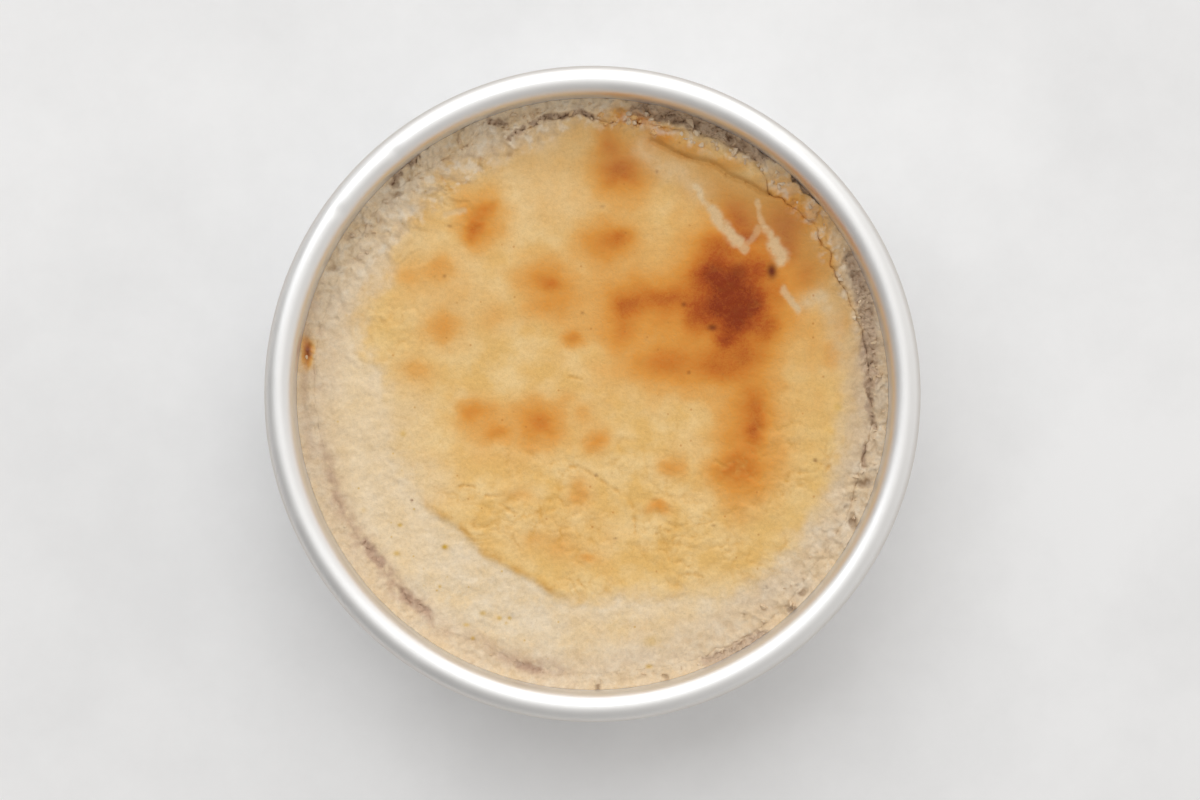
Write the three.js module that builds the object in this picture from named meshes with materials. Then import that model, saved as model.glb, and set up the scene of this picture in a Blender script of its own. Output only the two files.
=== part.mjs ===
// A baked cheesecake in the round tin that it was baked in.
//
// Millimetres, +Z up. The origin is the centre of the tin's underside, so the part stands on Z = 0.
// Angles run anticlockwise from +X, seen from above.
//
// Three solids: the spun aluminium tin with its rolled rim, the pale crust that clings to the wall all
// round, and the filling inside it, whose thin golden skin stands a little proud of the cream.
import * as THREE from 'three';

// ---- Driving dimensions ----

// The tin
const TIN_INSIDE_RADIUS = 89;
const TIN_HEIGHT = 50;
const SHEET = 1.2;
const CORNER_INSIDE_RADIUS = 4.5;
const RIM_WIDTH = 8.8;
const RIM_CURL_DEG = 300;

// The cake
const CLEARANCE = 0.3;
const EDGE_LEVEL = 37.2;
const CRUST_THICKNESS = 5.8;
const CRACK_DEPTH = 3.5;
const CRACK_OPENING = 0.9;
const SKIN_LEVEL = 36.6;
const SKIN_STEP = 0.9;
const MIDDLE_SAG = 1.4;
const SAG_RADIUS = 72;
const SKIN_EDGE_WIDTH = 0.8;
const CREAM_LEFT_OUTSIDE_SKIN = 1.6;

// How uneven the cake is. Each ripple is its slowest number of waves in a turn, where it starts, and its
// height or reach in millimetres.
const CRACK_RIPPLE = [4, 0.6, 1.1];
const CRUST_RIPPLE = [7, 2.1, 0.6];
const CLING_RIPPLE = [9, 0.9, 0.5];
const SKIN_RIPPLE = [6, 1.4, 0.8];
const RIPPLE_WEIGHTS = [1, 0.7, 0.5];

// The crust clings to the wall a little under its own level, and its top breaks off inside that.
const CLING_DROP = 0.4;
const CLING_ABOVE_TOP = 0.8;
const CRUST_RIDGE_SHARE = 0.72;
const CRACK_LIP = 0.1;

// Broad swells over the filling: heights and lengths of one pair of crossing waves and one slanting wave
const SWELL_HEIGHT = 0.35;
const SWELL_LENGTH_X = 13;
const SWELL_LENGTH_Y = 11;
const SWELL_START = 0.8;
const SLANT_HEIGHT = 0.25;
const SLANT_LENGTH = 19;

// The skin's outline: how far it reaches from the middle at each angle, in degrees and millimetres.
// It runs out to the crust on the right and draws back from it at the lower left.
const SKIN_REACH = [
  [0, 77],
  [12, 80],
  [60, 79],
  [90, 80],
  [105, 77],
  [126, 79],
  [140, 74],
  [152, 71],
  [160, 74],
  [168, 71],
  [175, 62],
  [197, 63],
  [204, 55],
  [218, 60],
  [240, 58],
  [255, 61],
  [275, 62],
  [290, 65],
  [305, 73],
  [322, 75],
  [340, 76],
];

// The fold that runs along the inside of the crust at the upper right: its middle, its half length along
// the crust, its half width across, and its depth.
const FOLD_ANGLE_DEG = 62;
const FOLD_HALF_SPAN_DEG = 17;
const FOLD_RADIUS = 78;
const FOLD_HALF_WIDTH = 3.2;
const FOLD_DEPTH = 1.8;

// Places where the crust's top has torn away: the angle, the half width in degrees, and the depth.
const TORN_PLACES = [
  [20, 9, 2.2],
  [70, 11, 3.2],
  [97, 7, 1.2],
  [129, 5, 1.6],
  [207, 9, 1],
  [228, 9, 1.2],
  [297, 8, 1.6],
  [334, 8, 1.2],
];

// Fineness of the faceted solids
const SEGMENTS = 96;
const CORNER_STEPS = 3;
const ROLL_STEPS = 10;
const SKIN_RINGS = 7;

// ---- Worked out from them ----

const FULL_TURN = Math.PI * 2;
const HALF_SHEET = SHEET / 2;
const WALL_MIDDLE = TIN_INSIDE_RADIUS + HALF_SHEET;
const ROLL_RADIUS = (RIM_WIDTH - SHEET) / 2;
const ROLL_CENTRE = new THREE.Vector2(WALL_MIDDLE + ROLL_RADIUS, TIN_HEIGHT - HALF_SHEET - ROLL_RADIUS);
const CORNER_RADIUS_OUT = TIN_INSIDE_RADIUS - CORNER_INSIDE_RADIUS;
const CORNER_CENTRE = new THREE.Vector2(CORNER_RADIUS_OUT, SHEET + CORNER_INSIDE_RADIUS);
const CAKE_FLOOR = SHEET + CLEARANCE;
const CRUST_OUTSIDE = TIN_INSIDE_RADIUS - CLEARANCE;

// ---- Helpers ----

const radians = THREE.MathUtils.degToRad;
const smoothstep = THREE.MathUtils.smoothstep;
const lerp = THREE.MathUtils.lerp;

// Points along a circular arc in a section, from one angle to another.
function arc(centre, radius, fromDeg, toDeg, steps) {
  const points = [];
  for (let i = 0; i <= steps; i++) {
    const angle = radians(lerp(fromDeg, toDeg, i / steps));
    const offset = new THREE.Vector2(Math.cos(angle), Math.sin(angle)).multiplyScalar(radius);
    points.push(offset.add(centre));
  }
  return points;
}

// The shorter way round from one angle to another, in degrees.
function degreesBetween(a, b) {
  const difference = Math.abs(a - b) % 360;
  return Math.min(difference, 360 - difference);
}

// A smooth mound over the angles: 1 at its middle, fading to 0 about two half widths away.
function mound(degrees, middle, halfWidth) {
  const distance = degreesBetween(degrees, middle) / halfWidth;
  return Math.exp(-distance * distance);
}

// Three waves of whole numbers of periods, so that the last one meets the first. Each next wave has twice
// as many periods as the one before and one more, so that the pattern doesn't repeat within a turn.
function ripple(angle, [slow, phase, size]) {
  let periods = slow;
  let sum = 0;
  let whole = 0;
  RIPPLE_WEIGHTS.forEach((weight, index) => {
    sum += weight * Math.sin(periods * angle + phase * (index + 1));
    whole += weight;
    periods = periods * 2 + 1;
  });
  return (sum / whole) * size;
}

// A body spun round the Z axis whose section may change with the angle. sectionAt(angle) gives the
// section's points, the same number at every angle, anticlockwise in the plane of radius and height.
function spunBody(sectionAt) {
  const count = sectionAt(0).length;
  const geometry = new THREE.LatheGeometry(sectionAt(0), SEGMENTS);
  const position = geometry.getAttribute('position');
  for (let turn = 0; turn <= SEGMENTS; turn++) {
    const angle = ((turn % SEGMENTS) / SEGMENTS) * FULL_TURN;
    sectionAt(angle).forEach((point, row) => {
      const x = point.x * Math.cos(angle);
      const y = point.x * Math.sin(angle);
      position.setXYZ(turn * count + row, x, y, point.y);
    });
  }
  geometry.computeVertexNormals();
  return geometry;
}

function namedMesh(name, geometry, finish) {
  const mesh = new THREE.Mesh(geometry, new THREE.MeshStandardMaterial(finish));
  mesh.name = name;
  return mesh;
}

// ---- The tin ----

// One sheet all through: the underside, the outside of the wall, the inside of the rolled rim to its
// lip, back over the outside of the roll, and down the inside of the wall to the floor. The lip stops
// short of the wall, so the roll is open underneath.
function tinSection() {
  const rollEnd = 180 - RIM_CURL_DEG;
  const outsideCorner = arc(CORNER_CENTRE, CORNER_INSIDE_RADIUS + SHEET, -90, 0, CORNER_STEPS);
  const insideRoll = arc(ROLL_CENTRE, ROLL_RADIUS - HALF_SHEET, 180, rollEnd, ROLL_STEPS);
  const outsideRoll = arc(ROLL_CENTRE, ROLL_RADIUS + HALF_SHEET, rollEnd, 180, ROLL_STEPS);
  const insideCorner = arc(CORNER_CENTRE, CORNER_INSIDE_RADIUS, 0, -90, CORNER_STEPS);
  const underside = new THREE.Vector2(0, 0);
  const floor = new THREE.Vector2(0, SHEET);
  return [underside, ...outsideCorner, ...insideRoll, ...outsideRoll, ...insideCorner, floor];
}

// ---- The crust ----

// The radius of the crack between crust and filling.
function crackRadius(angle) {
  return CRUST_OUTSIDE - CRUST_THICKNESS + ripple(angle, CRACK_RIPPLE);
}

// The crust's top, ragged, with the torn places sunk in it.
function crustTop(angle) {
  const degrees = THREE.MathUtils.radToDeg(angle);
  let level = EDGE_LEVEL + ripple(angle, CRUST_RIPPLE);
  for (const [middle, halfWidth, depth] of TORN_PLACES) {
    level -= depth * mound(degrees, middle, halfWidth);
  }
  return level;
}

function crustSection(angle) {
  const inner = crackRadius(angle);
  const top = crustTop(angle);
  const cling = EDGE_LEVEL - CLING_DROP + ripple(angle, CLING_RIPPLE);
  const corner = arc(CORNER_CENTRE, CORNER_INSIDE_RADIUS - CLEARANCE, -90, 0, CORNER_STEPS);
  const start = new THREE.Vector2(inner, CAKE_FLOOR);
  return [
    start,
    ...corner,
    new THREE.Vector2(CRUST_OUTSIDE, Math.min(cling, top + CLING_ABOVE_TOP)),
    new THREE.Vector2(lerp(inner, CRUST_OUTSIDE, CRUST_RIDGE_SHARE), top),
    new THREE.Vector2(inner + CRACK_OPENING / 2, top + CRACK_LIP),
    new THREE.Vector2(inner, top - CRACK_DEPTH),
    start.clone(),
  ];
}

// ---- The filling ----

// How far the skin reaches at an angle: an even curve through the named reaches.
function skinReach(angle) {
  const degrees = THREE.MathUtils.radToDeg(angle) % 360;
  const following = SKIN_REACH.findIndex(([at]) => at > degrees);
  const next = following < 0 ? [SKIN_REACH[0][0] + 360, SKIN_REACH[0][1]] : SKIN_REACH[following];
  const last = SKIN_REACH[(following < 0 ? SKIN_REACH.length : following) - 1];
  const along = smoothstep(degrees, last[0], next[0]);
  return lerp(last[1], next[1], along) + ripple(angle, SKIN_RIPPLE);
}

// The filling's top: sunk in the middle, folded at the upper right, and never quite even.
function fillingTop(angle, radius) {
  const degrees = THREE.MathUtils.radToDeg(angle);
  const sag = MIDDLE_SAG * (1 - smoothstep(radius, 0, SAG_RADIUS));
  const across = (radius - FOLD_RADIUS) / FOLD_HALF_WIDTH;
  const fold = FOLD_DEPTH * mound(degrees, FOLD_ANGLE_DEG, FOLD_HALF_SPAN_DEG) * Math.exp(-across * across);
  const x = radius * Math.cos(angle);
  const y = radius * Math.sin(angle);
  const swell = SWELL_HEIGHT * Math.sin(x / SWELL_LENGTH_X + SWELL_START) * Math.cos(y / SWELL_LENGTH_Y);
  const slant = SLANT_HEIGHT * Math.sin((x - y) / SLANT_LENGTH);
  return SKIN_LEVEL - sag - fold + swell + slant;
}

function fillingSection(angle) {
  const side = crackRadius(angle) - CLEARANCE;
  const shoulder = side - CRACK_OPENING;
  const reach = Math.min(skinReach(angle), shoulder - CREAM_LEFT_OUTSIDE_SKIN);
  const creamAt = (radius) => new THREE.Vector2(radius, fillingTop(angle, radius) - SKIN_STEP);
  const skinAt = (radius) => new THREE.Vector2(radius, fillingTop(angle, radius));
  const points = [
    new THREE.Vector2(0, CAKE_FLOOR),
    new THREE.Vector2(side, CAKE_FLOOR),
    new THREE.Vector2(side, EDGE_LEVEL - SKIN_STEP - CRACK_DEPTH),
    creamAt(shoulder),
    creamAt(lerp(reach + SKIN_EDGE_WIDTH, shoulder, 0.5)),
    creamAt(reach + SKIN_EDGE_WIDTH),
  ];
  for (let ring = SKIN_RINGS; ring > 0; ring--) {
    points.push(skinAt((reach * ring) / SKIN_RINGS));
  }
  points.push(new THREE.Vector2(0, fillingTop(0, 0)));
  return points;
}

// ---- The part ----

const SATIN_METAL = { color: '#d6d3cf', roughness: 0.34, metalness: 1 };
const DRY_CRUST = { color: '#d9c39c', roughness: 0.75, metalness: 0 };
const BAKED_CURD = { color: '#dcae6c', roughness: 0.5, metalness: 0 };

const cheesecake = new THREE.Group();
cheesecake.name = 'cheesecake_in_tin';
cheesecake.add(namedMesh('tin', spunBody(tinSection), SATIN_METAL));
cheesecake.add(namedMesh('crust', spunBody(crustSection), DRY_CRUST));
cheesecake.add(namedMesh('filling', spunBody(fillingSection), BAKED_CURD));

export default cheesecake;
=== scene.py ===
# %% [markdown]
# # A baked cheesecake in its tin
#
# A cheesecake sets from the wall inwards. The edge rises, sticks to the metal and tears away when the
# middle sinks back, and the skin on top browns in patches, so nearly all that we see is one bumpy surface.
# We make that surface once, as a function of the place on the cake, and let every piece read from it.
#
# The pieces are the spun tin, the filling, the crust along the wall, and loose crumbs.

# %% Load the frame
import math

import bmesh
import bpy
import numpy as np
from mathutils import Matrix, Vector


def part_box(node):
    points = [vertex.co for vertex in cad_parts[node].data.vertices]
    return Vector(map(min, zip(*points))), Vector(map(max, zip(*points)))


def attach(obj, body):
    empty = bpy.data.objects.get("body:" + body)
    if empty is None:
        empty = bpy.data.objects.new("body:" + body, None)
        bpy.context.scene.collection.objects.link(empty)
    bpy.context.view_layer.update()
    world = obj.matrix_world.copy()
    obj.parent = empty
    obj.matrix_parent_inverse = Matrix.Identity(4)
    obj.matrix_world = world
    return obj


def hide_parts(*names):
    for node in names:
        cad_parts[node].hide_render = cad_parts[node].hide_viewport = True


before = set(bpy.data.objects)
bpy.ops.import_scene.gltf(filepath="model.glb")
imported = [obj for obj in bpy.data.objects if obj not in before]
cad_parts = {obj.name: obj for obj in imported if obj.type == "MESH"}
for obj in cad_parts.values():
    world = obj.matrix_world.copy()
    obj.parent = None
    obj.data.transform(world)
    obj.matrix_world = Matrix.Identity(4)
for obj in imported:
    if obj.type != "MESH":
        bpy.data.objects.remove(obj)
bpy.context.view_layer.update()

MM = 0.001
tin_low, tin_high = [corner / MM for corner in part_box("tin")]
crust_low, crust_high = [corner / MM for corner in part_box("crust")]
filling_low, filling_high = [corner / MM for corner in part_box("filling")]
print("tin", tin_low, tin_high)
print("crust", crust_low, crust_high)
print("filling", filling_low, filling_high)

# %% [markdown]
# ## The camera
#
# We look straight down into the tin from a little under a metre with a short telephoto lens, as one looks
# at a cake on a table from a step stool. A long lens keeps the tin's wall almost out of sight.

# %% Camera
CAMERA_PLACE_MM = (2.24, -1.79, 890)
LENS_MM = 85
SENSOR_MM = 36

camera_data = bpy.data.cameras.new("overhead camera")
camera_data.lens = LENS_MM
camera_data.sensor_width = SENSOR_MM
camera_data.clip_start = 0.01
camera_data.clip_end = 20
camera = bpy.data.objects.new("overhead camera", camera_data)
camera.location = [value * MM for value in CAMERA_PLACE_MM]
bpy.context.scene.collection.objects.link(camera)
bpy.context.scene.camera = camera
bpy.context.scene.view_settings.view_transform = "Standard"
print("camera", LENS_MM, "mm lens,", CAMERA_PLACE_MM[2], "mm up")

# %% [markdown]
# ## Tools for an uneven surface
#
# Baked food is never smooth and never regular. These helpers give repeatable unevenness: smooth bumps of a
# chosen size in millimetres, scattered points for pits, and distances to lines and outlines.
# A fixed number for each place, worked out from its grid square, keeps the result the same every time.

# %% Helpers for uneven surfaces
def grid_random(column, row, seed):
    """A repeatable number from 0 to 1 for each square of an endless grid."""
    mixed = (column * 374761393 + row * 668265263 + seed * 362437) & 0xFFFFFFFF
    mixed = ((mixed ^ (mixed >> 13)) * 1274126177) & 0xFFFFFFFF
    return ((mixed ^ (mixed >> 16)) & 0xFFFFFFFF) / 0xFFFFFFFF


def bumps(x, y, seed):
    """Smooth hills and dips, about -1 to 1, each about one unit across."""
    column = np.floor(x).astype(np.int64)
    row = np.floor(y).astype(np.int64)
    across = x - column
    up = y - row

    def slope_from(right, above):
        turn = grid_random(column + right, row + above, seed) * 2 * np.pi
        return np.cos(turn) * (across - right) + np.sin(turn) * (up - above)

    ease_x = across**3 * (across * (across * 6 - 15) + 10)
    ease_y = up**3 * (up * (up * 6 - 15) + 10)
    below = slope_from(0, 0) + (slope_from(1, 0) - slope_from(0, 0)) * ease_x
    over = slope_from(0, 1) + (slope_from(1, 1) - slope_from(0, 1)) * ease_x
    return (below + (over - below) * ease_y) * 1.6


def clouds(x, y, size, layers, seed):
    """Bumps of a size in mm with finer and finer bumps on top."""
    total = 0
    power = 0
    strength = 1
    for layer in range(layers):
        total = total + strength * bumps(x / size + 31.7 * layer, y / size - 17.3 * layer, seed + layer)
        power += strength**2
        strength /= 2
        size /= 2
    return total / math.sqrt(power)


def lumps(x, y, size, layers, seed):
    """Rounded lumps with sharp creases between them, 0 in a crease to about 1 on top."""
    total = 0
    strength = 1
    for layer in range(layers):
        hills = bumps(x / size + 13.1 * layer, y / size + 7.7 * layer, seed + layer)
        total = total + strength * np.abs(hills)
        strength *= 0.5
        size /= 2.1
    return np.clip(total, 0, 1)


def ledges(x, y, size, seed):
    """Flat steps with ragged edges, one mm high, and the band along the foot of each step that gets painted
    shade.
    """
    level = 1.3 * clouds(x, y, size, 2, seed)
    rest = level - np.floor(level)
    return np.floor(level) + ease(0.38, 0.62, rest), np.exp(-(((rest - 0.34) / 0.09) ** 2))


def to_nearest_point(x, y, size, seed):
    """Distance to the nearest scattered point, one to a grid square, counted in squares of a size in mm."""
    x = x / size
    y = y / size
    column = np.floor(x).astype(np.int64)
    row = np.floor(y).astype(np.int64)
    nearest = np.full(x.shape, 9.0)
    for right in (-1, 0, 1):
        for above in (-1, 0, 1):
            place_x = column + right + grid_random(column + right, row + above, seed)
            place_y = row + above + grid_random(column + right, row + above, seed + 1)
            nearest = np.minimum(nearest, np.hypot(place_x - x, place_y - y))
    return nearest


def ease(low, high, value):
    """0 below low, 1 above high, and a smooth rise between."""
    share = np.clip((value - low) / (high - low), 0, 1)
    return share * share * (3 - 2 * share)


def blend(start, end, share):
    """A share of the way from start to end."""
    return start + (end - start) * share


def to_line(x, y, points):
    """Distance from each place to a line through the points."""
    nearest = np.full(x.shape, 1e9)
    for (x0, y0), (x1, y1) in zip(points[:-1], points[1:]):
        run_x = x1 - x0
        run_y = y1 - y0
        share = np.clip(((x - x0) * run_x + (y - y0) * run_y) / (run_x**2 + run_y**2), 0, 1)
        nearest = np.minimum(nearest, np.hypot(x - x0 - share * run_x, y - y0 - share * run_y))
    return nearest


def near_lines(x, y, lines, reach):
    """1 on any of the lines, fading out over the reach in mm."""
    nearest = np.full(x.shape, 1e9)
    for points in lines:
        nearest = np.minimum(nearest, to_line(x, y, points))
    return np.exp(-((nearest / reach) ** 2))


def inside_outline(x, y, outline):
    """How far each place lies inside a closed outline; negative outside."""
    closed = outline + outline[:1]
    within = np.zeros(x.shape, bool)
    for (x0, y0), (x1, y1) in zip(closed[:-1], closed[1:]):
        if y0 == y1:
            continue
        crosses = (y0 > y) != (y1 > y)
        within ^= crosses & (x < x0 + (y - y0) * (x1 - x0) / (y1 - y0))
    return np.where(within, 1, -1) * to_line(x, y, closed)


def near_spots(x, y, spots, sharpness=2.4):
    """The strongest mark at each place of spots given as (x, y, half width, half height, strength)."""
    total = np.zeros(x.shape)
    for spot_x, spot_y, half_x, half_y, strength in spots:
        away = np.hypot((x - spot_x) / half_x, (y - spot_y) / half_y)
        total += (strength * np.exp(-0.7 * away**sharpness)) ** 3
    return total ** (1 / 3)


def polar(x, y):
    """Distance from the middle in mm, and the angle in degrees, anticlockwise from +X."""
    return np.hypot(x, y), np.degrees(np.arctan2(y, x)) % 360


def round_table(angle, table, column):
    """Reads rows of (degrees, value, ...) at any angle, going round without a jump."""
    return np.interp(angle, [row[0] for row in table], [row[column] for row in table], period=360)


def make_piece(name, points_mm, faces, material, masks=None, sharp_deg=60):
    """A mesh from arrays of points in mm and faces of equal size, with its masks stored on the points."""
    corners = faces.shape[1]
    mesh = bpy.data.meshes.new(name)
    mesh.vertices.add(len(points_mm))
    mesh.vertices.foreach_set("co", (points_mm * MM).astype(np.float32).ravel())
    mesh.loops.add(faces.size)
    mesh.loops.foreach_set("vertex_index", faces.astype(np.int32).ravel())
    mesh.polygons.add(len(faces))
    mesh.polygons.foreach_set("loop_start", np.arange(0, faces.size, corners, dtype=np.int32))
    mesh.update(calc_edges=True)
    mesh.polygons.foreach_set("use_smooth", np.ones(len(faces), bool))
    mesh.set_sharp_from_angle(angle=math.radians(sharp_deg))
    for mask, values in (masks or {}).items():
        mesh.attributes.new(mask, "FLOAT", "POINT").data.foreach_set("value", values.astype(np.float32))
    mesh.materials.append(material)
    piece = bpy.data.objects.new(name, mesh)
    bpy.context.scene.collection.objects.link(piece)
    print(name, len(points_mm), "points,", len(faces) * (corners - 2), "triangles")
    return piece


def strip_faces(rings, around):
    """Quads between neighbouring rings of the same number of points, wound to face outwards."""
    ring, step = np.meshgrid(np.arange(rings - 1), np.arange(around), indexing="ij")
    here = ring * around + step
    beside = ring * around + (step + 1) % around
    return np.stack([here, beside, beside + around, here + around], -1).reshape(-1, 4)


# %% [markdown]
# ## A small node helper and colours
#
# Colours are written as the sRGB values that a painter would mix, and turned to the linear values that
# light adds up in. One helper adds every shader node, so that a material reads as a list of steps.

# %% Helpers for materials
def colour(text):
    """An sRGB hex colour as linear RGBA."""
    parts = [int(text[start : start + 2], 16) / 255 for start in (1, 3, 5)]
    return tuple(c / 12.92 if c <= 0.04045 else ((c + 0.055) / 1.055) ** 2.4 for c in parts) + (1.0,)


def new_material(name):
    """A material with an empty node tree."""
    material = bpy.data.materials.new(name)
    material.use_nodes = True
    material.node_tree.nodes.clear()
    return material


def add(material, kind, inputs=None, stops=None, **settings):
    """Adds a node, sets its settings, and links or sets each of its inputs."""
    tree = material.node_tree
    node = tree.nodes.new(kind)
    for name, value in settings.items():
        setattr(node, name, value)
    for key, value in (inputs or {}).items():
        if isinstance(value, bpy.types.NodeSocket):
            tree.links.new(value, node.inputs[key])
        else:
            node.inputs[key].default_value = value
    if stops:
        marks = node.color_ramp.elements
        while len(marks) < len(stops):
            marks.new(0.5)
        for mark, (place, shade) in zip(marks, stops):
            mark.position = place
            mark.color = shade
    return node


# %% [markdown]
# ## Spun aluminium
#
# The tin is pressed from a disc of aluminium sheet and its edge is curled outwards over a wire tool. It is
# then etched and anodised, which leaves a clear, hard, satin skin: the metal mirrors its surroundings, but
# blurred, so that the roll looks bright along one line and grey beside it. Turning the disc leaves rings
# far finer than a hair, which only show as a faint grain. The colour changes a little from the inside to
# the outside. Inside, where batter and butter have baked on and been scrubbed off many times, the skin has
# dulled to a cool grey. At the outer edge of the roll the colour is painted darker and faintly warm, a
# painted reflection of the shaded floor under the roll.

# %% Anodised aluminium
ALUMINIUM = colour("#F4F4F3")
DULL_OXIDE = colour("#E9EDF4")
# Painted shade: the roll's outer edge is darker and faintly warm, standing in for a dark reflection
ROLL_EDGE_SHADE = colour("#D9D4CF")
METAL_ROUGHNESS = (0.4, 0.5)
# Real turning rings lie about a tenth of a millimetre apart, too fine to show, so these are coarser
TURNING_RINGS_PER_MM = 2.5
SMEARS_PER_MM = 0.09
WEAR_PER_MM = 0.8
GRAIN_STRENGTH = 0.12
GRAIN_DEPTH_METRES = 0.0001
# From the inside of the wall to the outside of the roll, in mm from the middle
SHADES_FROM_MM = 88.0
SHADES_TO_MM = 98.0
ACROSS_THE_ROLL = [(0.13, DULL_OXIDE), (0.25, ALUMINIUM), (0.8, ALUMINIUM), (0.94, ROLL_EDGE_SHADE)]

tin_metal = new_material("anodised aluminium")
place = add(tin_metal, "ShaderNodeTexCoord").outputs["Object"]
place_mm = add(tin_metal, "ShaderNodeVectorMath", {0: place, "Scale": 1000}, operation="SCALE").outputs[0]
axes = add(tin_metal, "ShaderNodeSeparateXYZ", {0: place_mm})
flat_place = add(tin_metal, "ShaderNodeCombineXYZ", {"X": axes.outputs["X"], "Y": axes.outputs["Y"]})
radius_mm = add(tin_metal, "ShaderNodeVectorMath", {0: flat_place.outputs[0]}, operation="LENGTH").outputs[1]
ring_place = add(tin_metal, "ShaderNodeCombineXYZ", {"X": radius_mm, "Y": axes.outputs["Z"]}).outputs[0]
rings = add(
    tin_metal,
    "ShaderNodeTexNoise",
    {"Vector": ring_place, "Scale": TURNING_RINGS_PER_MM, "Detail": 3},
    noise_dimensions="2D",
)
smears = add(tin_metal, "ShaderNodeTexNoise", {"Vector": place_mm, "Scale": SMEARS_PER_MM, "Detail": 3})
wear = add(tin_metal, "ShaderNodeTexNoise", {"Vector": place_mm, "Scale": WEAR_PER_MM, "Detail": 2})
across = {"Value": radius_mm, "From Min": SHADES_FROM_MM, "From Max": SHADES_TO_MM}
across = add(tin_metal, "ShaderNodeMapRange", across).outputs[0]
metal_shade = add(tin_metal, "ShaderNodeValToRGB", {0: across}, stops=ACROSS_THE_ROLL)
smear_range = {"Value": smears.outputs[0], "From Min": 0.3, "From Max": 0.7}
smear_range["To Min"], smear_range["To Max"] = METAL_ROUGHNESS
metal_rough = add(tin_metal, "ShaderNodeMapRange", smear_range)
grain_height = add(
    tin_metal, "ShaderNodeMath", {0: rings.outputs[0], 1: wear.outputs[0]}, operation="ADD"
)
grain_relief = {"Height": grain_height.outputs[0], "Strength": GRAIN_STRENGTH}
grain_relief["Distance"] = GRAIN_DEPTH_METRES
grain = add(tin_metal, "ShaderNodeBump", grain_relief)
metal_surface = add(
    tin_metal,
    "ShaderNodeBsdfPrincipled",
    {
        "Base Color": metal_shade.outputs[0],
        "Metallic": 1.0,
        "Roughness": metal_rough.outputs[0],
        "Normal": grain.outputs[0],
    },
)
add(tin_metal, "ShaderNodeOutputMaterial", {0: metal_surface.outputs[0]})
print("made", tin_metal.name)

# %% [markdown]
# ## The tin
#
# One line through the middle of the sheet gives the whole shape: out along the floor, round the corner, up
# the wall and over the roll. Setting the two faces of the sheet half a thickness to either side gives a
# section, and turning that section about the middle gives the tin. Years of use have left a few small
# dents on the roll.

# %% Tin
SHEET = 1.2
TIN_INSIDE = 89.0
CORNER_INSIDE = 4.5
ROLL_TURN_DEG = 300
ROLL_STEP_DEG = 6
CORNER_STEP_DEG = 10
TIN_AROUND = 480
FLAT_STEPS = 9
# Each dent's place, its half width and its depth in mm
TIN_DENTS = [(56, 79, 2.2, 0.35), (60, 76, 1.6, 0.3), (-59, 71.5, 2.0, 0.3), (-75, 54, 2.0, 0.3)]

half_sheet = SHEET / 2
wall_line = TIN_INSIDE + half_sheet
tin_height = tin_high.z
roll_radius = (tin_high.x - half_sheet - wall_line) / 2
roll_middle = (wall_line + roll_radius, tin_height - half_sheet - roll_radius)
corner_middle = (TIN_INSIDE - CORNER_INSIDE, SHEET + CORNER_INSIDE)


def arc(middle, radius, start_deg, end_deg, step_deg):
    """Places and outward directions along an arc in the plane of radius and height."""
    count = round(abs(end_deg - start_deg) / step_deg) + 1
    turn = np.radians(np.linspace(start_deg, end_deg, count))
    away = np.stack([np.cos(turn), np.sin(turn)], 1)
    return np.array(middle) + radius * away, away


corner_line, corner_away = arc(corner_middle, CORNER_INSIDE + half_sheet, -90, 0, CORNER_STEP_DEG)
roll_line, roll_away = arc(roll_middle, roll_radius, 180, 180 - ROLL_TURN_DEG, ROLL_STEP_DEG)
floor_reach = np.linspace(0, corner_line[0, 0], FLAT_STEPS)[:-1]
floor_line = np.stack([floor_reach, np.full(len(floor_reach), half_sheet)], 1)
wall_heights = np.linspace(corner_line[-1, 1], roll_line[0, 1], FLAT_STEPS)[1:-1]
wall_places = np.stack([np.full(len(wall_heights), wall_line), wall_heights], 1)
sheet_line = np.concatenate([floor_line, corner_line, wall_places, roll_line])
sheet_away = np.concatenate(
    [np.tile([0, -1], (len(floor_line), 1)), corner_away, np.tile([1, 0], (len(wall_places), 1)), -roll_away]
)
outer_face = sheet_line + half_sheet * sheet_away
inner_face = sheet_line - half_sheet * sheet_away
tin_section = np.concatenate([outer_face, inner_face[::-1]])
turn = np.linspace(0, 2 * np.pi, TIN_AROUND, endpoint=False)
tin_points = np.stack(
    [
        tin_section[:, :1] * np.cos(turn),
        tin_section[:, :1] * np.sin(turn),
        np.repeat(tin_section[:, 1:], TIN_AROUND, 1),
    ],
    -1,
).reshape(-1, 3)
on_roll = ease(tin_height - 6, tin_height - 3, tin_points[:, 2])
for dent_x, dent_y, reach, depth in TIN_DENTS:
    away = np.hypot(tin_points[:, 0] - dent_x, tin_points[:, 1] - dent_y)
    tin_points[:, 2] -= depth * on_roll * np.exp(-((away / reach) ** 2))
tin = make_piece("cake_tin", tin_points, strip_faces(len(tin_section), TIN_AROUND), tin_metal, sharp_deg=50)
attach(tin, "root")
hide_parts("tin")
print("roll", round(roll_radius, 2), "mm in radius about", roll_middle)

# %% [markdown]
# ## What lies where on the cake
#
# Every mark is a place in millimetres from the middle of the tin, with +X to the right and +Y away from us.
# The golden skin has drawn back from the wall at the lower left, where its edge is crisp, and runs out
# softly elsewhere. The oven's hot spot has burnt a patch right of the middle.

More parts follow.
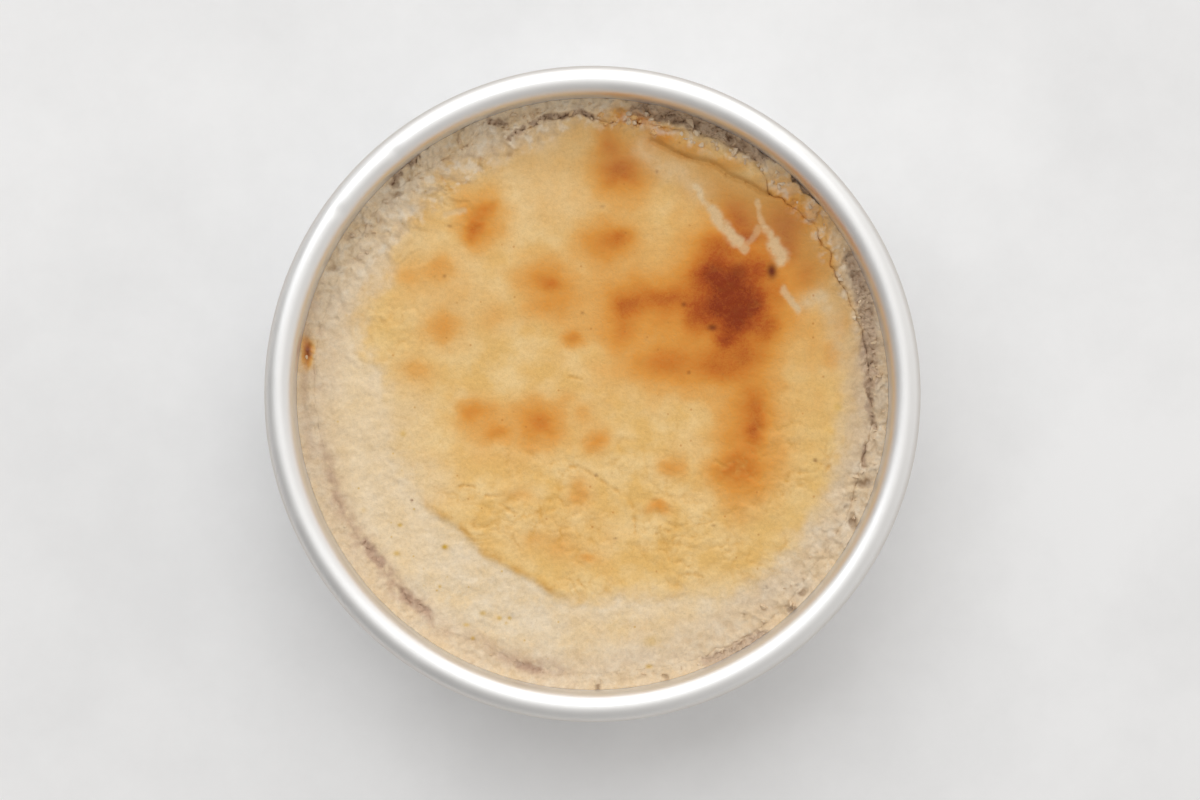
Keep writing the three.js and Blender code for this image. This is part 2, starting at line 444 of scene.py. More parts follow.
# %% Skin outline
SKIN_OUTLINE = [
    (77, 0), (79.5, 12), (81, 18), (80, 22), (79.5, 27), (78.5, 31), (76, 38), (74, 41), (72, 46),
    (69, 49), (67.5, 52), (64.5, 54), (63, 56), (61, 57), (59, 58), (57.5, 60), (55, 61), (53.5, 62),
    (53, 66), (50, 70), (47, 72.5), (40, 76), (35, 78), (30, 79.5), (21, 80), (16, 82), (12, 82.5),
    (7, 84), (0, 82), (-8, 82), (-12, 77), (-20, 74), (-30, 70), (-35, 71), (-42, 69), (-48, 66),
    (-52, 60), (-54, 54), (-58, 47), (-60, 42), (-62, 34), (-69, 31), (-71, 22), (-70, 14), (-63, 8),
    (-62, 3), (-61.5, -10), (-60, -17), (-56, -22), (-53, -28), (-50, -34),
    (-46, -37.5), (-41, -40), (-36, -45), (-33, -49), (-27, -51.5), (-20, -55), (-14, -59), (-8, -62),
    (0, -62), (10, -60), (20, -61), (30, -61), (38, -61), (45, -58.5), (50, -56), (54, -50), (57, -47),
    (62, -42), (70, -33), (72, -25), (75, -15), (77, -5),
]
CRISP_EDGES = [
    [(-47, -36.5), (-41, -40), (-36, -45), (-33, -49), (-27, -51.5), (-20, -55), (-14, -59)],
]
# Spots from here on are rows of x, y, half width, half height and strength. This is where the edge of the
# skin is loose and ragged
LOOSE_SKIN = [(-62, 50, 34, 34, 1)]
# Where the skin has dried into flakes
FLAKY_SKIN = [(-42, 62, 13, 10, 0.9), (-56, 44, 9, 10, 0.8), (-64, 22, 9, 13, 0.7), (-30, 70, 9, 4, 0.6)]
# Where the skin is thin and lets the cream show through
THIN_SKIN = [
    (-16, 60, 18, 12, 0.25), (-46, 30, 14, 16, 0.2), (-58, -8, 9, 15, 0.5), (-52, -27, 9, 9, 0.55),
    (-72, 24, 6, 12, 0.3), (40, -60, 14, 5, 0.3),
]
# Where the skin is wrinkled, beside the whole near half
WRINKLED_SKIN = [(-42, 62, 14, 11, 0.9), (-62, 18, 12, 18, 0.8), (64, -12, 12, 20, 0.6)]
# A stray tongue of faint skin beyond the outline
FAINT_SKIN = [(-5, -69), (0, -71), (10, -71), (20, -69), (28, -66)]
print("skin outline of", len(SKIN_OUTLINE), "places")

# %% Browning
BURN = [
    (42, 32.5, 9.5, 9, 0.9), (43.5, 23, 7, 7, 0.96), (36, 36, 7, 7, 0.8), (36, 26, 6, 6, 0.85),
    (50, 38, 5, 5, 0.7), (49, 27, 5, 6, 0.82), (40, 16, 4, 4, 0.8), (38, 44, 8, 6, 0.62),
    (46, 12, 6, 6, 0.62), (52, 20, 4, 8, 0.62), (31, 24, 5, 6, 0.64),
]
BURN_ARMS = [
    (21, 29, 14, 5, 0.66), (10, 26, 6, 5, 0.66), (9, 19, 5, 6.5, 0.5), (22, 9, 9, 5, 0.55),
    (38, 8, 11, 6, 0.62), (48.5, -3, 5, 7, 0.6), (49, -11, 4.5, 6, 0.66), (45, -22, 8, 6, 0.55),
    (40, -23, 5, 5, 0.5), (44, -29, 8, 5, 0.3),
]
TOP_SPOTS = [
    (9, 67.5, 6, 5.5, 0.66), (6, 74, 3.5, 3.5, 0.5), (4, 76, 3.5, 4, 0.5), (4, 46, 7, 5, 0.48),
    (8, 47.5, 4, 3.5, 0.6), (-35, 51, 3.4, 4.6, 0.62), (-36.5, 47, 3, 3, 0.45), (-32, 55.5, 4, 3, 0.5),
    (-15, 35, 7, 5, 0.42), (-12, 33.5, 4, 3, 0.55), (-12, 27, 6, 4, 0.35), (-6, 17, 3.5, 3.5, 0.5),
]
LEFT_SPOTS = [
    (-37, -5, 3.5, 3.5, 0.45), (-28, -12, 4, 3.5, 0.46), (-16, -9, 6, 5.5, 0.56), (-30, 23, 6, 5, 0.2),
    (-45, 20, 6, 5, 0.35), (-46, 38, 6, 4, 0.3), (-55, 36, 5, 4, 0.25), (-53, 7, 6, 5, 0.25),
]
MIDDLE_SPOTS = [
    (1, -14, 4, 4, 0.4), (-3, -6, 4, 4, 0.25), (-8, -1, 4, 3, 0.2), (24, -22, 4, 3.5, 0.35),
    (19.5, -34.5, 3.5, 1.8, 0.4), (-4, -30, 4, 4, 0.3), (-22, -30, 5, 3, 0.2), (-9, -46, 5, 4, 0.2),
    (-2, -50, 3, 1.5, 0.3), (-17, -44, 5, 3, 0.2),
]
RIGHT_SPOTS = [
    (45, 52, 6, 5.5, 0.66), (47, 47, 4.5, 3, 0.68), (42, 56, 6, 5, 0.5), (58, 51, 6, 9, 0.6),
    (58, 44, 5, 6, 0.5), (64, 36, 5, 6, 0.45), (56, 31, 4, 6, 0.5), (75, 21, 3, 6, 0.25),
    (72, 12, 4, 6, 0.25), (58, 2, 3, 2, 0.2), (20, 76, 5, 3, 0.45), (28, 73, 6, 2.5, 0.35),
    (38, 69, 8, 2, 0.3), (40, 62, 10, 4, 0.25),
]
TORN_CRUMB_EDGE = [
    (-85.9, 12.5, 1.6, 3.2, 0.8), (9, 84, 3, 2, 0.5), (15, 82.5, 3, 1.6, 0.5), (20, 79.5, 3, 1.8, 0.52),
]
BROWNED = BURN + BURN_ARMS + TOP_SPOTS + LEFT_SPOTS + MIDDLE_SPOTS + RIGHT_SPOTS + TORN_CRUMB_EDGE
# Wide areas of light browning round the spots
HONEY_AREAS = [
    (42, 28, 19, 22, 0.46), (47, -12, 9.5, 22, 0.35), (54, 48, 15, 12, 0.34), (16, 24, 18, 14, 0.3),
    (24, 8, 18, 8, 0.28), (-17, -9, 9, 8, 0.27), (-33, -8, 9, 7, 0.23), (9, 67, 11, 11, 0.3),
    (-13, 31, 11, 10, 0.26), (5, 45, 12, 9, 0.26), (-34, 52, 8, 9, 0.3), (66, 36, 7, 8, 0.25),
    (62, 45, 12, 16, 0.14), (20, 8, 30, 12, 0.12), (-5, 64, 26, 14, 0.1), (28, 62, 14, 12, 0.12),
    (50, -10, 16, 22, 0.12), (-32, -14, 12, 9, 0.12), (-45, 30, 14, 10, 0.1), (-8, -44, 20, 8, 0.08),
    (68, 12, 9, 20, 0.1),
]
# Where butterfat makes the cream or the skin yellower
YELLOW_AREAS = [
    (-60, 22, 11, 14, 0.5), (-58, -4, 6, 12, 0.5), (-50, 8, 6, 6, 0.4), (66, -4, 9, 9, 0.6),
    (66, -20, 8, 9, 0.5), (55, -36, 12, 9, 0.45), (30, -54, 16, 6, 0.2), (-36, 14, 8, 8, 0.25),
    (-12, -52, 12, 5, 0.3), (-66, 38, 8, 6, 0.4), (-72, -52, 5, 12, 0.4), (-44, -74, 14, 5, 0.35),
    (-70, -8, 9, 24, 0.7), (-58, -42, 12, 14, 0.6),
]
# Burnt specks
DARK_MARKS = [
    (-85.9, 12.5, 0.8, 2.2, 0.45), (-85, 15, 0.7, 0.7, 0.4),
    (44, 37, 2.2, 2.2, 0.4), (54, 37, 1.3, 1.9, 1), (36, 20, 1.2, 0.8, 0.8), (27.5, 27, 0.6, 0.6, 0.6),
    (29, 6.5, 0.4, 0.4, 0.6), (7, -43.5, 0.5, 0.35, 0.5), (36.5, -39.5, 0.6, 0.3, 0.5),
    (-54.5, -32, 0.35, 0.35, 0.9), (19.5, 67, 0.4, 0.5, 0.4), (3, 56.5, 0.8, 0.4, 0.3),
    (67, -20, 0.5, 0.5, 0.6), (-3, 24.5, 0.5, 0.5, 0.4), (1, -24.5, 0.5, 0.4, 0.5),
    (-43, 50.5, 0.6, 0.4, 0.4), (-44.5, 35.5, 0.5, 0.5, 0.4),
]
print(len(BROWNED), "browned spots,", len(HONEY_AREAS), "honey areas,", len(DARK_MARKS), "burnt specks")

# %% Tears, folds and creases
# A line along each tear with half its width in mm, and how much white curd shows
TEARS = [
    ([(31.5, 62.5), (33, 59), (36, 55.5)], 1.2, 0.55), ([(36, 55.5), (39, 51), (43.5, 46)], 2.0, 0.85),
    ([(43.5, 46), (45.5, 43.5)], 1.4, 0.6), ([(45, 44.5), (48, 47), (50, 50)], 1.1, 0.4),
    ([(49.5, 58), (51, 53), (52, 50)], 0.9, 0.55), ([(52, 50), (54.5, 45.5)], 1.5, 0.8),
    ([(54.5, 45.5), (57, 40.5)], 2.3, 0.85), ([(57.5, 31.5), (59.5, 28.5), (61.5, 25)], 1.3, 0.65),
    ([(66, 28), (68, 29.5), (71, 27)], 2.0, 0.35), ([(53, 48), (56, 43.5)], 1.0, 0.4),
    ([(-44, 54), (-39, 55)], 1.0, 0.6),
]
PALE_BANDS = [[(15, 74), (20, 69), (27, 66), (32, 61)], [(64, 27), (69, 29), (72, 24), (74, 18), (76, 10)]]
FOLD = [(18, 76), (25, 72.5), (30, 71), (35, 70), (40, 67), (45, 64), (50, 61.5), (53, 60.5)]
FOLD_LIP = [(20, 78), (28, 76), (36, 73.5), (44, 69.5), (50, 66)]
CREASES = [
    [(-40, -28), (-36, -28)],
    [(-34, -30), (-31, -31), (-28, -31)],
    [(-28, -33), (-24, -35.5), (-20, -37), (-14, -34)],
    [(-16, -36.5), (-11, -34.5)],
    [(-7, -22), (-4, -22), (0, -24), (4, -27), (8, -29.5), (11, -31), (12, -34), (12.5, -38), (13, -43)],
    [(-24, -43), (-22, -47)],
    [(20, -40), (24, -41.5)],
    [(-8, 5.5), (-3, 4.5)],
    [(37, -20), (40, -22)],
    [(27, -50), (28, -54), (33, -55)],
    [(70, -23), (71.5, -21.5)],
    [(-34, 71), (-34, 67)],
    [(-46, 66), (-42, 60)],
    [(-26, 80.5), (-22, 78), (-18.5, 80.5)],
]
print(len(TEARS), "tears,", len(CREASES), "creases")

# %% [markdown]
# ## The seam between the filling and the crust
#
# Nearly all the way round, a crack runs a few millimetres in from the wall, where the sinking middle has
# let go of the edge. The table gives where it runs and how open it is. Where it is closed, the two pieces
# simply meet. The crack is jagged, because baked curd breaks between its crumbs.

# %% Seam
# Rows of degrees, the crack's radius in mm, and how open it is from 0 to 1
SEAM = [
    (0, 83.6, 0.8), (4, 83.5, 0.7), (10, 83.5, 0.9), (16, 83, 0.8), (22, 82.2, 0.9), (28, 81.5, 0.8),
    (31, 83.5, 0.5), (33, 82.4, 0.6), (36, 83.8, 0.6), (38, 84.1, 0.6), (40, 83, 0.7), (42, 83.1, 0.7),
    (43, 82.3, 0.7), (44.5, 81.7, 0.6), (46, 82.1, 0.7), (47.3, 81, 0.7), (48.9, 80.4, 0.7),
    (50.6, 82.8, 0.6), (54.8, 86, 0.7), (57, 86, 0.5), (62, 85.6, 0.5), (69, 84.8, 0.6),
    (75, 82.8, 0.8), (81.7, 83.2, 0.7), (86, 82, 0.5), (90, 83, 0.9), (92.7, 84.8, 1), (96.9, 83.6, 1),
    (99.6, 84, 0.9), (102.9, 82.4, 0.8), (105, 82, 0.4), (108, 84.2, 0.5), (111, 86, 0.3),
    (117, 84, 0.25), (125.6, 83.8, 0.5), (131, 85, 0.3), (138, 85.5, 0.4), (144, 84.5, 0.15),
    (155, 84, 0.1), (165, 84, 0.2), (175, 84.2, 0.25), (186, 83, 0.2), (194, 82.5, 0.5),
    (199.7, 82.9, 0.7), (204, 83.3, 0.8), (208, 82.8, 0.5), (212.7, 83.2, 0.8), (216, 81.6, 0.9),
    (221, 82.2, 0.7), (225.5, 82.7, 0.9), (228.4, 82.9, 0.9), (232.4, 82, 0.7), (235.6, 84.5, 0.4),
    (241, 83, 0.15), (246, 81.5, 0.4), (250.3, 82.9, 0.6), (254, 83.7, 0.7), (257.8, 85.2, 0.8),
    (261.7, 83.2, 0.6), (266, 84.5, 0.3), (270, 84, 0.1), (280, 84, 0.05), (289, 85, 0.1),
    (293.3, 86, 0.5), (295.7, 85.4, 0.6), (300.6, 86.5, 0.5), (306, 86.5, 0.5), (312.7, 86.3, 0.4),
    (320, 84.5, 0.15), (330, 84.5, 0.3), (337, 85, 0.6), (345, 83, 0.4), (353, 84.8, 0.6),
]

# %% Hollows, plates and small marks
# Where the crust crumbled into hollows: a line along each, half its width, its depth, and its painted shade
HOLLOWS = [
    ([(84, 4), (83.5, 12), (83, 20), (82, 28), (80.5, 34), (78, 41)], 2.4, 1.0, 0.0),
    ([(84, 10), (83, 16)], 1.0, 0.6, 0.3), ([(79.5, 36), (81.5, 31)], 1.2, 0.8, 0.4),
    ([(50, 72), (44, 76), (36, 80), (28, 82.5), (20, 84.5), (14, 86)], 2.4, 1.8, 0.15),
    ([(31, 81.5), (26, 82.5), (20, 83)], 1.5, 1.2, 0.65), ([(42, 77), (38, 79.5)], 0.9, 1.0, 0.6),
    ([(60, 65), (64, 61.5), (68, 57.5)], 0.8, 1.6, 0.9),
    ([(50, 74), (52, 72.5), (55, 70.5)], 0.8, 1.6, 0.9),
    ([(0, 83.5), (-4, 85.2), (-10, 83.5), (-14, 83.5), (-18, 81.5)], 0.9, 1.4, 0.45),
    ([(-20, 80), (-26, 76)], 0.6, 0.8, 0.4), ([(-26, 81.5), (-31, 82.5)], 0.8, 1.0, 0.4),
    ([(-58, 68), (-53, 71.5)], 1.2, 1.2, 0.4), ([(-61, 63.5), (-58, 66)], 0.9, 1.0, 0.35),
    ([(-68.5, -44.5), (-64, -50.5)], 1.4, 0.4, 0), ([(-57, -60.5), (-50, -66)], 1.4, 0.4, 0),
    ([(-22, -81.5), (-16, -82.8)], 1.2, 0.4, 0),
    ([(34, -80), (39, -78.5), (45, -76), (52, -72)], 1.4, 0.7, 0.15),
    ([(81.5, -15), (81.5, -22)], 0.8, 0.7, 0.2), ([(83.5, 4), (83.3, -5), (85, -11)], 0.7, 0.8, 0.25),
]
# Plates of crust that stand proud, with their heights in mm
PLATES = [
    (-23, 78.8, 4.2, 2.0, 1.1), (-11, 86.6, 8, 1.7, 0.9), (-32, 80, 3.5, 1.5, 0.6), (3, 87, 5, 1.4, 0.7),
    (86, 0, 1.8, 5, 0.8), (86.5, -13, 1.6, 4, 0.7), (84.5, -31, 2.2, 4, 0.6), (77, -43, 3, 3, 0.5),
    (59, 62, 3, 2, 0.7), (66, 55, 2, 3, 0.6), (46, 71.5, 4, 2, 0.6), (73, 47, 2, 3, 0.6),
    (-40, 66, 5, 2, 0.6), (-50, 63, 4, 3, 0.6), (-57, 55, 3, 4, 0.5), (-36, 73, 4, 1.6, 0.5),
    (11, 83, 3, 1.6, 0.7), (17, 81, 3, 1.5, 0.7),
]
# Small deep holes
HOLES = [
    (2, -88.3, 0.9, 0.9, 1), (22, -85, 0.8, 0.6, 0.8), (59.5, -64.5, 1.6, 1.0, 1), (63, -60, 1.2, 1, 0.8),
    (78.5, -39, 1.5, 2.2, 1), (82, -27, 2.6, 1.3, 1), (-60, 63, 1.2, 0.8, 0.8), (-59, 60, 1.5, 0.7, 0.8),
    (-26, 72, 1.2, 0.8, 0.6), (-68, 48, 2, 1, 0.4), (-78, 38, 2, 0.8, 0.6), (45, -66.5, 0.5, 0.5, 0.7),
    (52, -58, 0.5, 0.4, 0.6), (61.5, -57.5, 0.5, 0.5, 0.6), (76, -34, 0.6, 0.6, 0.6),
    (67, -47.5, 0.7, 0.7, 0.5),
]
# Beads of butterfat
YELLOW_DOTS = [
    (-44.5, -46, 0.8, 0.7, 1), (-58, -39.5, 0.6, 0.5, 0.8), (-59, -48, 0.9, 0.7, 0.6),
    (-46, -58, 0.4, 0.5, 0.7), (-25, -67.5, 0.6, 0.5, 0.8), (-28, -67.5, 0.7, 0.6, 0.7),
    (-26, -69, 0.5, 0.4, 0.6), (-33, -66, 0.9, 0.6, 0.6), (-36, -73.5, 0.5, 0.5, 1),
    (-57, -12, 0.8, 0.8, 0.5), (-38, -69.5, 0.9, 0.5, 0.6), (17, -82, 1, 0.6, 0.6),
    (17.5, -74.5, 2.5, 1.5, 0.35), (74, -4, 1.2, 1, 0.4), (-69, -35, 0.7, 0.7, 0.3),
]
# Dents with a pink-brown bloom
PINK_DENTS = [
    (-84, 27, 1.6, 3, 0.5), (-82, 19, 1.2, 1.5, 0.4), (-84, 6, 1, 2, 0.4),
    (-82, 2, 1.2, 1.2, 0.3), (-66, -43, 1.4, 0.8, 0.3), (-67, 2.5, 1, 1, 0.2), (-86.5, 18, 1.4, 8, 0.6),
    (-86.8, 3, 1.2, 8, 0.5), (-85.5, -12, 1.4, 8, 0.35),
]
print(len(HOLLOWS), "hollows,", len(PLATES), "plates,", len(HOLES), "holes")

# %% The edge all the way round
# How broken up the cake's edge is (0 to 1), and from which radius in mm, for each row's degrees
CRUMBLY_EDGE = [
    (0, 0.7, 84), (12, 0.8, 82), (28, 0.8, 80), (42, 0.8, 82), (55, 0.7, 82), (62, 0.8, 81),
    (80, 1.0, 80), (92, 0.8, 81), (103, 0.9, 77), (115, 1.0, 75), (130, 1.0, 74), (145, 0.9, 75),
    (155, 0.7, 78), (168, 0.4, 80), (185, 0.3, 83), (215, 0.3, 84), (240, 0.3, 82), (268, 0.35, 84),
    (290, 0.35, 80), (310, 0.4, 80), (330, 0.6, 79), (345, 0.7, 82),
]
# How grey and dry the cream outside the skin is (0 to 1), and from which radius in mm
DRY_EDGE = [
    (0, 0.7, 76), (30, 0.6, 78), (50, 0.2, 80), (62, 0.1, 80), (85, 0.1, 80), (100, 0.15, 77),
    (115, 0.2, 74), (130, 0.25, 70), (150, 0.3, 68), (165, 0.45, 75), (185, 0.45, 78),
    (215, 0.42, 81), (240, 0.45, 80), (265, 0.5, 79), (290, 0.5, 76), (310, 0.55, 76),
    (330, 0.5, 79), (345, 0.6, 78),
]
# How much painted shadow of the rim darkens the far edge (0 to 1), and from which radius in mm
RIM_SHADOW_EDGE = [
    (0, 0.1, 76), (15, 0.25, 73), (30, 0.45, 70), (45, 0.56, 67), (60, 0.48, 64), (85, 0.42, 64),
    (105, 0.3, 66), (125, 0.15, 72), (145, 0, 78), (180, 0, 80), (345, 0, 78),
]
SEAM_JAG = 0.6
SEAM_JAG_SIZE = 3.2
SEAM_USUAL_RADIUS = 84


def seam_radius(angle):
    """The crack's radius in mm, jagged by broken crumbs."""
    turn = np.radians(angle)
    jag = clouds(np.cos(turn) * SEAM_USUAL_RADIUS, np.sin(turn) * SEAM_USUAL_RADIUS, SEAM_JAG_SIZE, 4, 41)
    return round_table(angle, SEAM, 1) + SEAM_JAG * jag


print("seam radius", seam_radius(np.arange(0, 360, 90)).round(1), "mm at each quarter turn")

# %% [markdown]
# ## The settled cake and its skin
#
# From here on the cake's top is built up in the order of the bake, one function for each thing that
# happened. First comes the settled level, a little lower in the middle, with a slow swell left by the
# batter. Then comes the skin, which ends in a crisp step where it has drawn back and fades out elsewhere.
# A slow drift, made once, shifts every edge a little, because nothing on a cake runs straight.

# %% Level and skin
skin_level = filling_high.z - 0.5
edge_level = crust_high.z - 0.6
MIDDLE_SAG = 1.4
SAG_RADIUS = 72
SWELL = 0.35
SLANTING_SWELL = 0.25
SKIN_STEP = 0.6
SOFT_EDGE = 5
CRISP_EDGE = 1.6
FAINT_SHARE = 0.35


def settled_level(x, y):
    """The height in mm of the top before anything wrinkles or cracks."""
    sag = MIDDLE_SAG * (0.5 + 0.5 * np.cos(np.pi * np.minimum(np.hypot(x, y) / SAG_RADIUS, 1)))
    swell = SWELL * np.sin(x / 13 + 0.8) * np.cos(y / 11) + SLANTING_SWELL * np.sin((x - y) / 19)
    return skin_level - sag + swell


def skin_cover(x, y, drift_x, drift_y):
    """How much skin there is, how crisp its edge is, how far inside that edge we are, and its step."""
    crisp = near_lines(x, y, CRISP_EDGES, 6)
    loose = near_spots(x, y, LOOSE_SKIN)
    wander = blend(1.6, 0.5, crisp) + 1.6 * loose
    reach = inside_outline(x + wander * drift_x, y + wander * drift_y, SKIN_OUTLINE)
    softness = blend(SOFT_EDGE, CRISP_EDGE, crisp) - 1.8 * loose
    ragged = reach + (blend(1.6, 0.3, crisp) + 1.2 * loose) * clouds(x, y, 4, 4, 31)
    skin = ease(-softness, softness, ragged) * (1 - near_spots(x, y, THIN_SKIN))
    skin = np.maximum(skin, FAINT_SHARE * near_lines(x, y, [FAINT_SKIN], 4.5))
    step = SKIN_STEP * blend(0.6, 1, crisp) * ease(-0.5 - softness / 2, 0.5 + softness / 2, ragged)
    return skin, crisp, reach, step


print("skin level", round(skin_level, 2), "mm, edge level", round(edge_level, 2), "mm")

# %% [markdown]
# ## Wrinkles, creases and the fold
#
# When the middle sinks, the skin is too large for it and puckers. Wrinkles are valleys where a smooth
# random field passes through nought, with puffed skin between them, in two sizes. They are strongest over
# the near half. Creases and the long fold at the far right follow lines that we choose, jogged a little,
# and stray flakes stand on ledges. Sizes and heights are in mm.

# %% Wrinkles and creases
WRINKLE_SIZE = 8
SMALL_WRINKLE_SIZE = 5
PUFF = 0.5
SMALL_PUFF = 0.26
PUFF_ROUNDING = 0.004
VALLEY_DEPTH = 0.08
FLAKE_HEIGHT = 0.5
CREASE_DEPTH = 0.5
FOLD_DEPTH = 1.2
LIP_HEIGHT = 1.0


def wrinkles(x, y, drift_x, drift_y, skin):
    """The relief of the wrinkled skin, how puffed it is, its valleys and the feet of its flakes."""
    wrinkled = ease(8, -38, y) + near_spots(x, y, WRINKLED_SKIN) + 0.2
    wrinkled = wrinkled * ease(-0.9, 0.5, clouds(x, y, 15, 2, 51)) * skin
    bend = clouds(x + 1.2 * drift_x, y + 1.2 * drift_y, WRINKLE_SIZE, 2, 61)
    small_bend = clouds(x + 0.8 * drift_y, (y + 0.8 * drift_x) * 1.4, SMALL_WRINKLE_SIZE, 2, 71)
    valley = np.exp(-((bend / 0.08) ** 2)) + 0.8 * np.exp(-((small_bend / 0.1) ** 2))
    valley = valley * ease(-1.0, 0.3, clouds(x, y, 4, 2, 75))
    puffed = PUFF * np.sqrt(bend**2 + PUFF_ROUNDING) + SMALL_PUFF * np.sqrt(small_bend**2 + PUFF_ROUNDING)
    flaky = near_spots(x, y, FLAKY_SKIN) * skin
    flake, flake_foot = ledges(x + 0.6 * drift_y, y + 0.6 * drift_x, 9, 83)
    relief = wrinkled * (puffed - VALLEY_DEPTH * valley) + FLAKE_HEIGHT * flaky * flake
    relief = relief + 0.1 * skin * clouds(x / 1.6, y, 3.5, 3, 81)
    return relief, puffed, wrinkled * valley, flaky * flake_foot


def creases_and_fold(x, y, drift_x, drift_y):
    """The relief of the creases and the fold, and where the creases, the fold and its lip are."""
    jog_x = x + 0.5 * drift_x + 0.35 * clouds(x, y, 1.4, 2, 85)
    jog_y = y + 0.5 * drift_y + 0.35 * clouds(x, y, 1.4, 2, 87)
    broken = ease(-0.7, 0.3, clouds(x, y, 2.6, 2, 89))
    crease = near_lines(jog_x, jog_y, CREASES, 0.45) * broken
    shoulder = near_lines(jog_x, jog_y, CREASES, 1.5)
    fold = near_lines(x + 0.5 * drift_x, y + 0.5 * drift_y, [FOLD], 0.8)
    lip = near_lines(x, y, [FOLD_LIP], 3)
    relief = 0.2 * shoulder - CREASE_DEPTH * crease + LIP_HEIGHT * lip - FOLD_DEPTH * fold
    return relief, crease, fold, lip


print("wrinkles of", WRINKLE_SIZE, "and", SMALL_WRINKLE_SIZE, "mm")

# %% [markdown]
# ## Browning and tears
#
# Browning spreads from hot spots, dark in the middle with a wide honey-coloured halo, and its edges are
# blotched because the skin is thicker in some places. Where the skin has parted, the white curd shows.
# A feathering noise makes the tears wide here and narrow there.

# %% Browning and torn skin
HALO_REACH = 4
HALO_STRENGTH = 0.1
TOAST_SHARPNESS = 1.8
PALE_BAND_REACH = 3.4


def browning(x, y, drift_x, skin):
    """How toasted the top is, from 0 to 1, and where the burnt specks are."""
    blot_x = x + 1.4 * clouds(x, y, 8, 2, 91) + 0.35 * clouds(x, y, 1.2, 2, 93)
    blot_y = y + 1.4 * clouds(x, y, 8, 2, 95) + 0.35 * clouds(x, y, 1.2, 2, 97)
    toast = near_spots(blot_x, blot_y, BROWNED, TOAST_SHARPNESS)
    halo = np.zeros(x.shape)
    for spot_x, spot_y, half_x, half_y, strength in BROWNED:
        away_x = (blot_x - spot_x) / (half_x + HALO_REACH)
        away_y = (blot_y - spot_y) / (half_y + HALO_REACH)
        halo += strength * np.exp(-0.8 * np.hypot(away_x, away_y) ** 2)
    honey = HALO_STRENGTH * (1 - np.exp(-1.3 * halo)) + 0.06 * clouds(x, y, 9, 3, 101) * skin
    honey = honey + near_spots(blot_x, blot_y, HONEY_AREAS)
    toast = (toast**3 + np.clip(honey, 0, 1) ** 3) ** (1 / 3)
    return toast, near_spots(x + 0.3 * drift_x, y, DARK_MARKS)


def torn_skin(x, y, drift_x, drift_y):
    """Where the skin has parted, and how much white curd shows there and in the pale bands."""
    feather = 0.5 + 0.5 * ease(-0.9, 0.6, clouds(x, y, 3.2, 4, 105))
    tear_x = x + 0.6 * drift_x + 0.15 * clouds(x, y, 1.6, 2, 107)
    tear_y = y + 0.6 * drift_y + 0.15 * clouds(x, y, 1.6, 2, 108)
    tear = np.zeros(x.shape)
    for line, half_width, strength in TEARS:
        along = near_lines(tear_x, tear_y, [line], half_width) * feather
        tear = np.maximum(tear, strength * ease(0.1, 0.7, along))
    pale = near_lines(x + drift_x, y + drift_y, PALE_BANDS, PALE_BAND_REACH) * feather
    return tear, np.clip(tear + 0.6 * pale, 0, 1)


print("halos reach", HALO_REACH, "mm past their spots")

# %% [markdown]
# ## The cream and the crumbly edge
#
# Outside the skin the bare cream is bumpy, with pits left by burst bubbles. Beside the wall it has dried
# and broken up into plates and crumbs: flat ledges, rounded lumps with creases between them, and a few
# plates that we place one by one. It climbs a little where it still sticks to the metal.

# %% Cream and crumbly edge
PIT_SPACING = 2.6
PIT_DEPTH = 0.25
LUMP_SIZE = 4.6
LEDGE_SIZE = 7
LEDGE_HEIGHT = 0.7
WALL_CLIMB = 0.9
WALL_CLIMB_REACH = 2.2


def cream_relief(x, y, puffed):
    """Bumps and pits of the bare cream."""
    relief = 0.36 * clouds(x, y, 7, 4, 111) + 0.14 * clouds(x, y, 2.6, 3, 121) + 0.4 * puffed
    pits = ease(0.25, 0.0, to_nearest_point(x, y, PIT_SPACING, 123)) * ease(0.1, 0.7, clouds(x, y, 9, 2, 125))
    return relief - PIT_DEPTH * pits


def crumbly_edge(x, y, drift_x, broken_x, broken_y):
    """The relief of the broken curd by the wall, how broken it is, and its lumps, ledge feet and plates."""
    radius, angle = polar(x, y)
    lump = lumps(broken_x, broken_y, LUMP_SIZE, 3, 131)
    crumbly = round_table(angle, CRUMBLY_EDGE, 1)
    crumbly = crumbly * ease(-2.5, 2.0, radius + 1.2 * drift_x - round_table(angle, CRUMBLY_EDGE, 2))
    ledge, foot = ledges(broken_x, broken_y, LEDGE_SIZE, 143)
    foot = foot * ease(-0.6, 0.6, clouds(x, y, 5, 2, 145))
    plates = near_spots(broken_x, broken_y, PLATES, 6)
    climb = WALL_CLIMB * ease(TIN_INSIDE - WALL_CLIMB_REACH, TIN_INSIDE, radius)
    relief = crumbly * (LEDGE_HEIGHT * ledge + lump - 0.7) + plates + climb
    return relief, crumbly, lump, foot, plates


print("lumps of", LUMP_SIZE, "mm, ledges of", LEDGE_SIZE, "mm")

# %% [markdown]
# ## The crack, the hollows and the holes
#
# At the far side the crack is a fine split. At the near left it is a soft valley with a pink-brown bloom,
# where the cake has only sunk. The hollows are where crumbs have fallen out of the edge. Their floors are
# damp and uneven, with crumbs left standing like columns and painted shade between them.

# %% Crack and hollows
SPLIT_DEPTH = 0.7
SPLIT_HALF_WIDTH = 0.4
VALLEY_HALF_WIDTH = 1.2
SOFT_VALLEY_HALF_WIDTH = 2.3
HOLLOW_DEPTH = 0.6
HOLE_DEPTH = 0.9
DENT_DEPTH = 0.7
COLUMN_SIZE = 2.4


